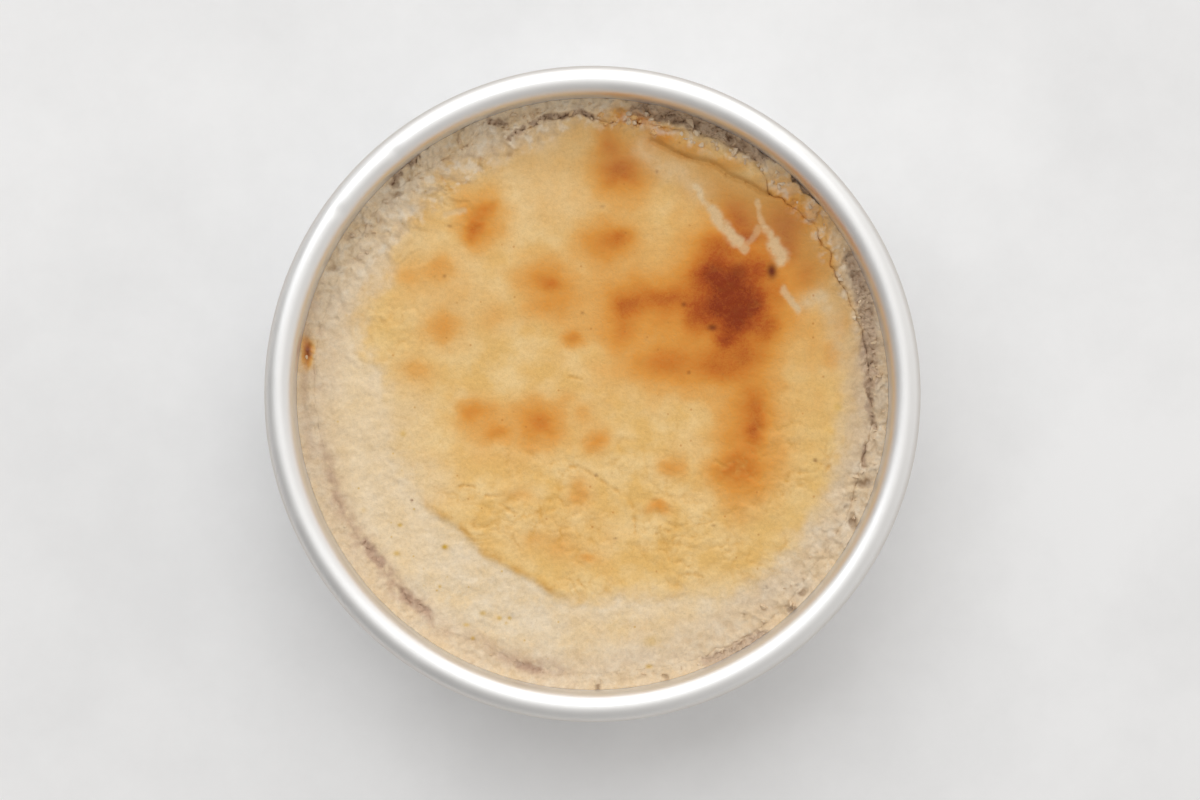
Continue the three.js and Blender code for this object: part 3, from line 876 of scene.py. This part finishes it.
def crack(x, y, drift_x, off):
    """How deep the crack is, its fine split, and its soft valley at the near left."""
    radius, angle = polar(x, y)
    opened = round_table(angle, SEAM, 2)
    soft = ease(183, 193, angle) * (1 - ease(262, 272, angle))
    split = opened * np.exp(-((off / blend(SPLIT_HALF_WIDTH, 1.1, soft)) ** 2))
    split = split * ease(-1.0, 0.2, clouds(x, y, 3.5, 2, 155)) * blend(1, 0.15, soft)
    valley_off = blend(off, radius + 0.7 * drift_x - round_table(angle, SEAM, 1), soft)
    valley_width = blend(VALLEY_HALF_WIDTH, SOFT_VALLEY_HALF_WIDTH, soft)
    valley = opened * np.exp(-((valley_off / valley_width) ** 2))
    return SPLIT_DEPTH * split + blend(0.3, 0.9, soft) * valley, split, soft * valley


def hollows(broken_x, broken_y, lump):
    """The relief of the hollows and holes, their painted shade, how damp they are, their columns, and the
    holes.
    """
    relief = np.zeros(broken_x.shape)
    dark = np.zeros(broken_x.shape)
    damp = np.zeros(broken_x.shape)
    for line, half_width, depth, darkness in HOLLOWS:
        part = ease(0.05, 0.75, near_lines(broken_x, broken_y, [line], half_width))
        dark = np.maximum(dark, darkness * part)
        damp = np.maximum(damp, part)
        relief -= HOLLOW_DEPTH * part * depth * (1.3 - 0.8 * lump)
    columns = lumps(broken_x, broken_y, COLUMN_SIZE, 2, 161)
    hole = near_spots(broken_x, broken_y, HOLES, 4)
    relief += damp * (1.1 * columns - 0.5) - HOLE_DEPTH * hole
    return relief, dark, damp, columns, hole


print("split", SPLIT_DEPTH, "mm deep, holes", HOLE_DEPTH, "mm deep")

# %% [markdown]
# ## The surface
#
# This function puts the steps together. For any place it gives the height and how much of each look is
# there: skin, toasting, burnt specks, golden lines in creases darkened as painted shade, torn white curd,
# painted shade in cracks, hollows and holes, damp crumb, dry, stale or chalky edge, the painted shadow
# of the rim on the far edge, beads of butterfat, yellower areas and the pink-brown bloom.

# %% Surface
def surface(x, y):
    """Height in mm and the masks of the looks at each place on the cake's top."""
    radius, angle = polar(x, y)
    drift_x = clouds(x, y, 7, 4, 11)
    drift_y = clouds(x, y, 7, 4, 21)
    broken_x = x + 0.9 * drift_y + 0.5 * clouds(x, y, 2.2, 3, 127)
    broken_y = y + 0.9 * drift_x + 0.5 * clouds(x, y, 2.2, 3, 129)
    off = radius - seam_radius(angle)
    skin, crisp, reach, skin_step = skin_cover(x, y, drift_x, drift_y)
    skin_relief, puffed, valleys, flake_feet = wrinkles(x, y, drift_x, drift_y, skin)
    crease_relief, crease, fold, lip = creases_and_fold(x, y, drift_x, drift_y)
    toast, mark = browning(x, y, drift_x, skin)
    tear, torn = torn_skin(x, y, drift_x, drift_y)
    edge_relief, crumbly, lump, foot, plates = crumbly_edge(x, y, drift_x, broken_x, broken_y)
    crack_depth, split, soft_valley = crack(x, y, drift_x, off)
    hollow_relief, hollow_shade, damp, columns, hole = hollows(broken_x, broken_y, lump)
    dent = near_spots(x + 0.6 * drift_x, y + 0.6 * drift_y, PINK_DENTS)

    height = settled_level(x, y) + skin_step + skin_relief + crease_relief
    height -= 0.1 * mark + 0.25 * tear
    height += (1 - skin) * cream_relief(x, y, puffed)
    height += (edge_level - skin_level) * ease(-4, 2, off) + edge_relief
    height += hollow_relief - crack_depth - DENT_DEPTH * dent

    # Golden skin along the crisp edge, in creases, valleys and the fold, darker there as painted shade
    gold_and_crease_shade = crisp * np.exp(-(((reach - 1.0) / 1.1) ** 2)) * ease(-0.9, 0.6, clouds(x, y, 7, 3, 151))
    gold_and_crease_shade = 0.75 * gold_and_crease_shade + 0.5 * crease + 0.36 * valleys + 0.3 * fold + 0.15 * flake_feet
    # Painted shade in the split, hollows, holes, gaps between crumb columns, creases between lumps and ledge
    # feet
    gaps = 1 - ease(0.04, 0.3, columns)
    deep = 0.16 * split + hollow_shade * (1.0 - 0.8 * lump) + 0.6 * hole + 0.6 * ease(-30, 10, y) * damp * gaps
    deep = deep + crumbly * (0.05 * (1 - ease(0.03, 0.16, lump)) + 0.07 * foot)
    dry_from = round_table(angle, DRY_EDGE, 2)
    dry = round_table(angle, DRY_EDGE, 1) * ease(-5, 4, radius + 1.5 * drift_x - dry_from)
    rosy = 1.4 * soft_valley * ease(-1.0, 0.4, clouds(x, y, 3, 3, 153)) + dent
    # Painted shadow of the rim over the far edge, weaker on torn curd and the fold's lip, and painted shade
    # in the fold
    rim_shadow_from = round_table(angle, RIM_SHADOW_EDGE, 2)
    tan = round_table(angle, RIM_SHADOW_EDGE, 1) * ease(-4, 8, radius + 1.5 * drift_y - rim_shadow_from)
    tan = tan * (1 - 0.85 * ease(79, 85, radius)) * (1 - 0.5 * torn) * (1 - 0.6 * lip) + 0.35 * fold
    patch = clouds(broken_x, broken_y, 3.5, 3, 157)
    return {
        "height": height,
        "skin": skin * (1 - ease(0, 1.5, off)),
        "toast": toast,
        "mark": mark,
        "gold_and_crease_shade": np.clip(gold_and_crease_shade, 0, 1),
        "torn": torn,
        "deep": np.clip(deep, 0, 1),
        "dry": dry,
        "rosy": np.clip(rosy, 0, 1),
        "dots": near_spots(x, y, YELLOW_DOTS),
        "yellow": near_spots(x + 2 * drift_x, y + 2 * drift_y, YELLOW_AREAS),
        "chalk": np.clip(crumbly * ease(0.0, 0.7, patch) * (1 - damp) + 0.5 * plates, 0, 1),
        "damp": damp,
        "stale": 0.35 * ease(0.1, 0.8, -patch) * np.clip(crumbly, 0, 1),
        "tan": np.clip(tan, 0, 1),
    }


middle_height = surface(np.zeros(1), np.zeros(1))["height"][0]
print("the middle is", round(tin_height - middle_height, 1), "mm under the rim")

# %% [markdown]
# ## Cheesecake
#
# This is baked curd: eggs, sugar and fresh cheese, set by heat and pale cream all through. At the surface it
# dries to a thin skin that turns golden and, where the oven is hottest, orange and then chestnut brown. The
# skin is satin from butterfat, and under it lies the fine grain of the curd. The masks say where each colour
# goes; fine noise of half a millimetre to a few millimetres breaks every edge and gives the speckled look
# of real browning. The dried crumb of the crust is the same curd, a little rougher.

# %% Colours and layers
CREAM = colour("#F1DDBE")
CREAM_WARM = colour("#EED2A6")
CURD_WHITE = colour("#EFE0C8")
CURD_GREY = colour("#D6C09C")
SKIN_GOLD = colour("#EABD72")
SKIN_PALE = colour("#F3D093")
SKIN_YELLOW = colour("#EBC47C")
# Golden skin in creases, dark enough to be painted shade there too
CREASE_GOLD_AND_SHADE = colour("#D9A350")
TORN_CURD = colour("#E2C497")
DRY_CREAM = colour("#CDB090")
# Painted shadow of the rim on the far edge
RIM_SHADOW_TAN = colour("#AE8450")
CHALKY = colour("#EFE2CD")
BROWN_FLECK = colour("#C17A33")
# Painted shade in cracks, hollows and holes
CREVICE_SHADE_CRUMB = colour("#8F7259")
DAMP_CRUMB = colour("#CBB197")
DRY_GREY = colour("#B69B81")
ROSY_CRUMB = colour("#B38F78")
YELLOW_FAT = colour("#D4A62B")
BURNT_SPECK = colour("#6E2C10")
BROWNING = [
    (0.0, colour("#ECC07A")),
    (0.2, colour("#E9B266")),
    (0.4, colour("#E39B44")),
    (0.6, colour("#D47F2C")),
    (0.8, colour("#B5561B")),
    (1.0, colour("#8D3610")),
]
FLAT = (0.5, 0.5, 0.5, 1)
WHITE = (1, 1, 1, 1)
FLECKS_PER_MM = 0.3
# How strongly the fine grain darkens the colour
GRAIN_SHADE = 0.28
GRAIN_BUMP_METRES = 0.00025
CURD_GLOSS = 0.14
# Each noise's scale in cycles per mm, its detail and its distortion
CURD_NOISES = {
    "patches": (0.11, 5, 0),
    "speckle": (0.9, 4, 0),
    "grains": (2.4, 3, 0),
    "curds": (0.42, 5, 0.8),
    "marbling": (0.27, 6, 1.5),
}
MASKS = (
    "skin", "toast", "mark", "gold_and_crease_shade", "torn", "deep", "dry", "rosy", "dots", "yellow", "chalk", "tan",
    "damp", "stale",
)
RANGE = ("Value", "From Min", "From Max", "To Min", "To Max")


def product(material, *shares):
    """Multiplies masks, numbers, and values given with two levels and what each level counts for."""
    total = None
    for share in shares:
        if isinstance(share, tuple):
            share = add(material, "ShaderNodeMapRange", dict(zip(RANGE, share))).outputs[0]
        if total is None:
            total = share
        else:
            total = add(material, "ShaderNodeMath", {0: total, 1: share}, operation="MULTIPLY").outputs[0]
    return total


def layer(material, under, over, *shares, how="MIX"):
    """Lays one colour over another, as strong as the product of the shares."""
    inputs = {0: product(material, *shares), 6: under, 7: over}
    return add(material, "ShaderNodeMix", inputs, data_type="RGBA", blend_type=how).outputs[2]


print(len(MASKS), "masks and", len(CURD_NOISES), "noises")

# %% Baked curd
def baked_curd(name, roughness):
    """The cake's material: masks mixed from pale to dark, then fine grain over everything."""
    made = new_material(name)
    place = add(made, "ShaderNodeTexCoord").outputs["Object"]
    place_mm = add(made, "ShaderNodeVectorMath", {0: place, "Scale": 1000}, operation="SCALE").outputs[0]
    masks = {}
    for mask in MASKS:
        masks[mask] = add(made, "ShaderNodeAttribute", attribute_name=mask).outputs["Fac"]
    noises = {}
    for noise, (scale, detail, distortion) in CURD_NOISES.items():
        inputs = {"Vector": place_mm, "Scale": scale, "Detail": detail, "Distortion": distortion}
        noises[noise] = add(made, "ShaderNodeTexNoise", inputs).outputs[0]
    patches, speckle, grains = noises["patches"], noises["speckle"], noises["grains"]
    curds, marbling = noises["curds"], noises["marbling"]

    # Cream, the skin over it, and the browning of the skin
    shade = layer(made, CREAM, CREAM_WARM, (patches, 0.35, 0.65, 0, 1))
    shade = layer(made, shade, CURD_WHITE, (curds, 0.45, 0.7, 0, 0.4))
    shade = layer(made, shade, CURD_GREY, (marbling, 0.48, 0.72, 0, 0.4))
    shade = layer(made, shade, CREAM_WARM, masks["yellow"], 0.7)
    skin_shade = layer(made, SKIN_GOLD, SKIN_PALE, (patches, 0.38, 0.62, 0, 1))
    skin_shade = layer(made, skin_shade, SKIN_YELLOW, masks["yellow"])
    shade = layer(made, shade, skin_shade, masks["skin"])
    shade = layer(made, shade, DRY_CREAM, masks["dry"], (curds, 0.3, 0.6, 1.0, 0.55))
    blotched = product(made, masks["toast"], (speckle, 0.3, 0.7, 0.93, 1.07), (grains, 0.3, 0.7, 0.92, 1.08))
    browned = add(made, "ShaderNodeValToRGB", {0: blotched}, stops=BROWNING).outputs[0]
    shade = layer(made, shade, browned, (masks["toast"], 0.02, 0.22, 0, 1))
    # Painted shadow of the rim on the far edge, with painted shade in the fold
    shade = layer(made, shade, RIM_SHADOW_TAN, masks["tan"], 0.75)

    # Golden creases darkened as painted shade, tears, and the broken edge with painted shade in its crevices
    shade = layer(made, shade, CREASE_GOLD_AND_SHADE, masks["gold_and_crease_shade"])
    shade = layer(made, shade, TORN_CURD, masks["torn"])
    shade = layer(made, shade, YELLOW_FAT, masks["dots"])
    shade = layer(made, shade, DRY_GREY, masks["stale"])
    shade = layer(made, shade, CHALKY, masks["chalk"], 0.6)
    shade = layer(made, shade, DAMP_CRUMB, masks["damp"], (curds, 0.35, 0.65, 1.0, 0.6))
    # Painted shade in cracks, hollows and holes, pinker in the soft valley
    crevice_shade_colour = layer(made, CREVICE_SHADE_CRUMB, ROSY_CRUMB, masks["rosy"])
    shade = layer(made, shade, crevice_shade_colour, masks["deep"], (speckle, 0.3, 0.7, 0.7, 1.3))
    shade = layer(made, shade, ROSY_CRUMB, masks["rosy"], 0.6)

    # Flecks of fat and browned flecks, one to about every fourth cell of a scattered pattern
    fleck = add(made, "ShaderNodeTexVoronoi", {"Vector": place_mm, "Scale": FLECKS_PER_MM})
    number = add(made, "ShaderNodeSeparateColor", {0: fleck.outputs["Color"]}).outputs[0]
    fleck_spot = (fleck.outputs["Distance"], 0.06, 0.14, 0.55, 0.0)
    fleck_shade = layer(made, YELLOW_FAT, BROWN_FLECK, masks["skin"])
    shade = layer(
        made, shade, fleck_shade, fleck_spot, (number, 0.72, 0.78, 0, 1), (masks["dry"], 0, 0.6, 1, 0)
    )
    shade = layer(made, shade, BURNT_SPECK, masks["mark"])

    # Fine grain in the colour, the roughness and the relief
    halves = {0: product(made, grains, 0.5), 1: product(made, speckle, 0.5)}
    mottled = add(made, "ShaderNodeMath", halves, operation="ADD").outputs[0]
    fine = add(made, "ShaderNodeValToRGB", {0: mottled}, stops=[(0.32, FLAT), (0.6, WHITE)]).outputs[0]
    shade = layer(made, shade, fine, GRAIN_SHADE, how="MULTIPLY")
    ground = add(made, "ShaderNodeMath", {0: halves[0], 1: speckle}, operation="ADD").outputs[0]
    relief = {"Height": ground, "Strength": 0.7, "Distance": GRAIN_BUMP_METRES}
    bump = add(made, "ShaderNodeBump", relief).outputs[0]
    rough = product(made, (speckle, 0.3, 0.7, roughness - 0.07, roughness + 0.07))
    inputs = {"Base Color": shade, "Roughness": rough, "Normal": bump, "Specular IOR Level": CURD_GLOSS}
    finish = add(made, "ShaderNodeBsdfPrincipled", inputs)
    add(made, "ShaderNodeOutputMaterial", {0: finish.outputs[0]})
    return made


CURD_ROUGHNESS = 0.48
DRIED_CRUMB_ROUGHNESS = 0.6
filling_curd = baked_curd("baked cheesecake curd", CURD_ROUGHNESS)
crust_curd = baked_curd("dried cheesecake crumb", DRIED_CRUMB_ROUGHNESS)
print("made", filling_curd.name, "and", crust_curd.name)

# %% [markdown]
# ## The filling
#
# Rings of points, each with six more than the last, cover the top evenly to about half a millimetre, which
# is fine enough for a crease. The outermost ring follows the seam. Below it the side leans in a little to
# clear the tin's rounded corner, down to a flat underside.

# %% Points on the filling's top
TOP_RINGS = 170
RIM_DENSER = 0.82
SIDE_FOOT_RADIUS = 82.4
SEAM_GAP = 0.02

ring_number = np.concatenate([[0]] + [np.full(6 * ring, ring) for ring in range(1, TOP_RINGS + 1)])
ring_turn = np.concatenate(
    [[0.0]] + [np.linspace(0, 360, 6 * ring, endpoint=False) for ring in range(1, TOP_RINGS + 1)]
)
ring_share = ring_number / TOP_RINGS
ring_share = 1 - (1 - ring_share) * (RIM_DENSER + (1 - RIM_DENSER) * (1 - ring_share))
ring_share = (ring_share - ring_share[0]) / (1 - ring_share[0])
rim_radius = seam_radius(ring_turn) - SEAM_GAP
# Round circles in the middle turn into the seam's shape over the outer fifth
ring_radius = ring_share * blend(SIDE_FOOT_RADIUS, rim_radius, ease(0.8, 1, ring_share))
top_x = ring_radius * np.cos(np.radians(ring_turn))
top_y = ring_radius * np.sin(np.radians(ring_turn))
top = surface(top_x, top_y)
print("top of the filling", top["height"].min().round(2), "to", top["height"].max().round(2), "mm")

# %% Triangles between the rings
first_of_ring = np.concatenate([[0, 1], 1 + np.cumsum(6 * np.arange(1, TOP_RINGS + 1))])
faces = []
for ring in range(TOP_RINGS):
    inner, outer = first_of_ring[ring], first_of_ring[ring + 1]
    side = np.arange(6)[:, None]
    step = np.arange(ring + 1)[None, :]
    inner_count = max(6 * ring, 1)
    outer_count = 6 * (ring + 1)
    out_here = outer + (side * (ring + 1) + step) % outer_count
    out_next = outer + (side * (ring + 1) + step + 1) % outer_count
    in_here = inner + (side * ring + step) % inner_count
    faces.append(np.stack([out_here, out_next, in_here], -1).reshape(-1, 3))
    if ring:
        in_next = inner + (side * ring + step + 1) % inner_count
        faces.append(np.stack([in_here, out_next, in_next], -1)[:, :-1].reshape(-1, 3))
print(sum(len(part) for part in faces), "triangles on the top")

# %% The filling's side and underside
SIDE_STEPS = 10
FOOT_TUCK = 0.2
cake_floor = filling_low.z

rim_count = 6 * TOP_RINGS
rim_first = first_of_ring[TOP_RINGS]
rim_turn = ring_turn[rim_first:]
rim_height = top["height"][rim_first:]
side_points = []
for step in range(1, SIDE_STEPS + 1):
    share = step / SIDE_STEPS
    side_radius = blend(rim_radius[rim_first:], SIDE_FOOT_RADIUS - FOOT_TUCK, share)
    side_points.append(
        np.stack(
            [
                side_radius * np.cos(np.radians(rim_turn)),
                side_radius * np.sin(np.radians(rim_turn)),
                blend(rim_height, cake_floor, share**1.5),
            ],
            1,
        )
    )
side_first = len(top_x)
filling_points = np.concatenate([np.stack([top_x, top_y, top["height"]], 1)] + side_points)
filling_points = np.concatenate([filling_points, [[0, 0, cake_floor]]])
middle = len(filling_points) - 1
quads = (strip_faces(SIDE_STEPS + 1, rim_count) + rim_first)[:, ::-1]
faces.append(quads[:, [0, 1, 2]])
faces.append(quads[:, [0, 2, 3]])
foot = side_first + (SIDE_STEPS - 1) * rim_count + np.arange(rim_count)
faces.append(np.stack([np.roll(foot, -1), foot, np.full(rim_count, middle)], 1))
side_masks = {}
for mask in MASKS:
    rim_values = np.tile(top[mask][rim_first:], SIDE_STEPS)
    side_masks[mask] = np.concatenate([top[mask], rim_values, [0]])
filling = make_piece("cake_filling", filling_points, np.concatenate(faces), filling_curd, side_masks)
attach(filling, "root")
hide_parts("filling")

# %% [markdown]
# ## The crust
#
# The crust is a ring of the same curd that dried onto the wall. Its section goes from the seam across the
# crumbly top, down the wall, round the tin's corner, along the floor and back up the seam. The points lie
# closer together here, a third of a millimetre, because crumbs are small.

# %% Crust
CRUST_AROUND = 1560
CRUST_ACROSS = 20
WALL_GAP = 0.05
WALL_STEPS = 6
CRUST_SIDE_STEPS = 8
CRUST_CORNER_STEP_DEG = 15
FOOT_GAP = 0.1

crust_turn = np.linspace(0, 360, CRUST_AROUND, endpoint=False)
crust_inner = seam_radius(crust_turn) + SEAM_GAP
wall_radius = TIN_INSIDE - WALL_GAP
ring_rows = []
for step in range(CRUST_ACROSS + 1):
    row_radius = blend(crust_inner, wall_radius, step / CRUST_ACROSS)
    x = row_radius * np.cos(np.radians(crust_turn))
    y = row_radius * np.sin(np.radians(crust_turn))
    found = surface(x, y)
    ring_rows.append((x, y, found["height"], found))
outside, _ = arc(corner_middle, CORNER_INSIDE - WALL_GAP, 0, -90, CRUST_CORNER_STEP_DEG)
outer_row = ring_rows[-1]
inner_row = ring_rows[0]


def crust_row(row_radius, row_height, like):
    """A ring of the crust's sides that keeps the masks of the row of the top beside it."""
    x = row_radius * np.cos(np.radians(crust_turn))
    y = row_radius * np.sin(np.radians(crust_turn))
    return x, y, row_height * np.ones(CRUST_AROUND), like


for step in range(1, WALL_STEPS):
    wall_height = blend(outer_row[2], outside[0, 1], step / WALL_STEPS)
    ring_rows.append(crust_row(wall_radius, wall_height, outer_row[3]))
for corner_radius, corner_height in outside:
    ring_rows.append(crust_row(corner_radius, max(corner_height, cake_floor), outer_row[3]))
for step in range(CRUST_SIDE_STEPS):
    share = 1 - step / CRUST_SIDE_STEPS
    seam_side = blend(crust_inner, SIDE_FOOT_RADIUS + FOOT_GAP, share)
    ring_rows.append(crust_row(seam_side, blend(inner_row[2], cake_floor, share**1.5), inner_row[3]))
crust_points = np.concatenate([np.stack(row[:3], 1) for row in ring_rows])
crust_faces = strip_faces(len(ring_rows), CRUST_AROUND)
last = (len(ring_rows) - 1) * CRUST_AROUND + np.arange(CRUST_AROUND)
first = np.arange(CRUST_AROUND)
closing = np.stack([last, np.roll(last, -1), np.roll(first, -1), first], 1)
crust_faces = np.concatenate([crust_faces, closing])[:, ::-1]
crust_masks = {mask: np.concatenate([row[3][mask] for row in ring_rows]) for mask in MASKS}
crust = make_piece("cake_crust", crust_points, crust_faces, crust_curd, crust_masks)
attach(crust, "root")
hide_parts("crust")

# %% [markdown]
# ## Crumbs
#
# Where the edge tore, it left loose crumbs of half a millimetre to two millimetres, most of them in the
# hollows at the far right. Each is a broken chip: the hull of a few random points, with its faces split
# and roughened, half sunk in what it lies on. All the crumbs are joined into one piece.

# %% Crumbs
# From and to in degrees, from and to in radius, how many, from and to in size, how browned
CRUMB_ZONES = [
    (-14, 8, 84, 88, 10, 0.9, 2.0, 0.0),
    (8, 46, 82, 87.5, 20, 0.7, 1.7, 0.0),
    (46, 60, 83, 87.5, 10, 0.8, 2.0, 0.0),
    (58, 84, 81.5, 87, 26, 0.9, 2.4, 0.02),
    (74, 90, 80, 84.5, 18, 0.8, 2.0, 0.18),
    (88, 104, 83, 87.5, 10, 0.8, 2.0, 0.05),
    (104, 150, 80, 88, 26, 0.8, 2.2, 0.0),
    (286, 345, 82, 88, 20, 0.8, 2.0, 0.0),
    (150, 286, 84, 88, 8, 0.5, 1.2, 0.0),
]

CRUMB_CORNERS = 14
CRUMB_ROUGHNESS = 0.35
CRUMB_SINK = 0.05

random = np.random.default_rng(7)
crumb_points = []
crumb_faces = []
crumb_masks = {mask: [] for mask in MASKS}
points_so_far = 0
for low_deg, high_deg, low_radius, high_radius, count, small, large, browned in CRUMB_ZONES:
    crumb_turn = np.radians(random.uniform(low_deg, high_deg, count))
    crumb_radius = random.uniform(low_radius, high_radius, count)
    size = small + (large - small) * random.uniform(0, 1, count) ** 2
    crumb_x = crumb_radius * np.cos(crumb_turn)
    crumb_y = crumb_radius * np.sin(crumb_turn)
    under = surface(crumb_x, crumb_y)
    for index in range(count):
        corners = random.standard_normal((CRUMB_CORNERS, 3))
        corners /= np.linalg.norm(corners, axis=1)[:, None]
        corners *= size[index] * random.uniform(0.35, 1.1, 3) * random.uniform(0.7, 1.0, (CRUMB_CORNERS, 1))
        broken = bmesh.new()
        for corner in corners:
            broken.verts.new(corner)
        hull = bmesh.ops.convex_hull(broken, input=broken.verts)
        bmesh.ops.delete(broken, geom=hull["geom_interior"], context="VERTS")
        bmesh.ops.triangulate(broken, faces=broken.faces)
        bmesh.ops.subdivide_edges(
            broken, edges=broken.edges, cuts=1, fractal=CRUMB_ROUGHNESS, seed=index, use_grid_fill=True
        )
        bmesh.ops.triangulate(broken, faces=broken.faces)
        broken.verts.index_update()
        chip = np.array([vertex.co for vertex in broken.verts])
        chip_faces = [[vertex.index for vertex in face.verts] for face in broken.faces]
        broken.free()
        chip_height = under["height"][index] - CRUMB_SINK * size[index]
        crumb_points.append(chip + [crumb_x[index], crumb_y[index], chip_height])
        crumb_faces.append(np.array(chip_faces) + points_so_far)
        points_so_far += len(chip)
        level = {"toast": browned, "dry": random.uniform(0.4, 1.0), "chalk": random.uniform(0, 0.35)}
        for mask in MASKS:
            crumb_masks[mask].append(np.full(len(chip), level.get(mask, 0.0)))
crumbs = make_piece(
    "crust_crumbs",
    np.concatenate(crumb_points),
    np.concatenate(crumb_faces),
    crust_curd,
    {mask: np.concatenate(values) for mask, values in crumb_masks.items()},
    sharp_deg=35,
)
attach(crumbs, "root")
print(len(crumb_points), "crumbs")

# %% [markdown]
# ## Table and light
#
# The tin stands on a pale plastered board, whose trowelling leaves broad, faint clouds. A large soft window
# on the far side gives most of the light and lays a soft shadow on the near side. A low white wall behind
# it brightens the far side of the roll, and a white ceiling and a bright room fill the rest.

# %% Table
FLOOR_SIZE = 3.0
TROWEL_MARKS_PER_METRE = 9
PLASTER_ROUGHNESS = 0.8
PLASTER = colour("#F3F3F3")
PLASTER_DARK = colour("#EBEBEB")

plaster = new_material("pale plaster board")
floor_place = add(plaster, "ShaderNodeTexCoord").outputs["Object"]
trowel_marks = {"Vector": floor_place, "Scale": TROWEL_MARKS_PER_METRE, "Detail": 8, "Roughness": 0.65}
trowel = add(plaster, "ShaderNodeTexNoise", trowel_marks)
floor_shade = add(
    plaster, "ShaderNodeValToRGB", {0: trowel.outputs[0]}, stops=[(0.38, PLASTER_DARK), (0.62, PLASTER)]
)
floor_finish = {"Base Color": floor_shade.outputs[0], "Roughness": PLASTER_ROUGHNESS}
floor_surface = add(plaster, "ShaderNodeBsdfPrincipled", floor_finish)
add(plaster, "ShaderNodeOutputMaterial", {0: floor_surface.outputs[0]})
floor_mesh = bpy.data.meshes.new("table")
half_floor = FLOOR_SIZE / 2
floor_signs = [(-1, -1), (1, -1), (1, 1), (-1, 1)]
floor_corners = [(sign_x * half_floor, sign_y * half_floor, 0) for sign_x, sign_y in floor_signs]
floor_mesh.from_pydata(floor_corners, [], [(0, 1, 2, 3)])
floor_mesh.materials.append(plaster)
floor = bpy.data.objects.new("table", floor_mesh)
bpy.context.scene.collection.objects.link(floor)
print("table", FLOOR_SIZE, "m across")

# %% Light
# Places and sizes in metres, powers in watts
WINDOW_PLACE = (-0.45, 1.42, 1.9)
WINDOW_SIZE = (3.0, 1.9)
WINDOW_POWER = 27
WALL_PLACE = (0.1, 2.3, 0.62)
WALL_SIZE = (4.0, 1.1)
WALL_POWER = 9
CEILING_PLACE = (0, 0, 2.0)
CEILING_SIZE = (1.3, 1.3)
CEILING_POWER = 1.6
ROOM_NEAR = 0.32
ROOM_FAR = 0.86
ROOM_BRIGHT_WAY = (0.8, 0.6, 0)
WINDOW_TINT = (0.97, 1.0, 1.03)
ROOM_TINT = (1.0, 0.975, 0.95)


def soft_light(name, place, size, power, tint):
    """A rectangle of light that faces the tin."""
    data = bpy.data.lights.new(name, "AREA")
    data.color = tint
    data.shape = "RECTANGLE"
    data.size, data.size_y = size
    data.energy = power
    light = bpy.data.objects.new(name, data)
    light.location = place
    light.rotation_euler = (-light.location).to_track_quat("-Z", "Y").to_euler()
    bpy.context.scene.collection.objects.link(light)


soft_light("window", WINDOW_PLACE, WINDOW_SIZE, WINDOW_POWER, WINDOW_TINT)
soft_light("white wall", WALL_PLACE, WALL_SIZE, WALL_POWER, ROOM_TINT)
soft_light("white ceiling", CEILING_PLACE, CEILING_SIZE, CEILING_POWER, ROOM_TINT)
room = bpy.data.worlds.new("bright room")
room.use_nodes = True
room.node_tree.nodes.clear()
looking = add(room, "ShaderNodeTexCoord").outputs["Generated"]
towards = add(room, "ShaderNodeVectorMath", {0: looking, 1: ROOM_BRIGHT_WAY}, operation="DOT_PRODUCT")
level = {"Value": towards.outputs["Value"], "From Min": -1, "To Min": ROOM_NEAR, "To Max": ROOM_FAR}
glow_level = add(room, "ShaderNodeMapRange", level).outputs[0]
glow = add(room, "ShaderNodeBackground", {"Color": (*ROOM_TINT, 1), "Strength": glow_level})
add(room, "ShaderNodeOutputWorld", {0: glow.outputs[0]})
bpy.context.scene.world = room
print("window", WINDOW_POWER, "W, wall", WALL_POWER, "W, ceiling", CEILING_POWER, "W")
print("room", ROOM_NEAR, "to", ROOM_FAR)
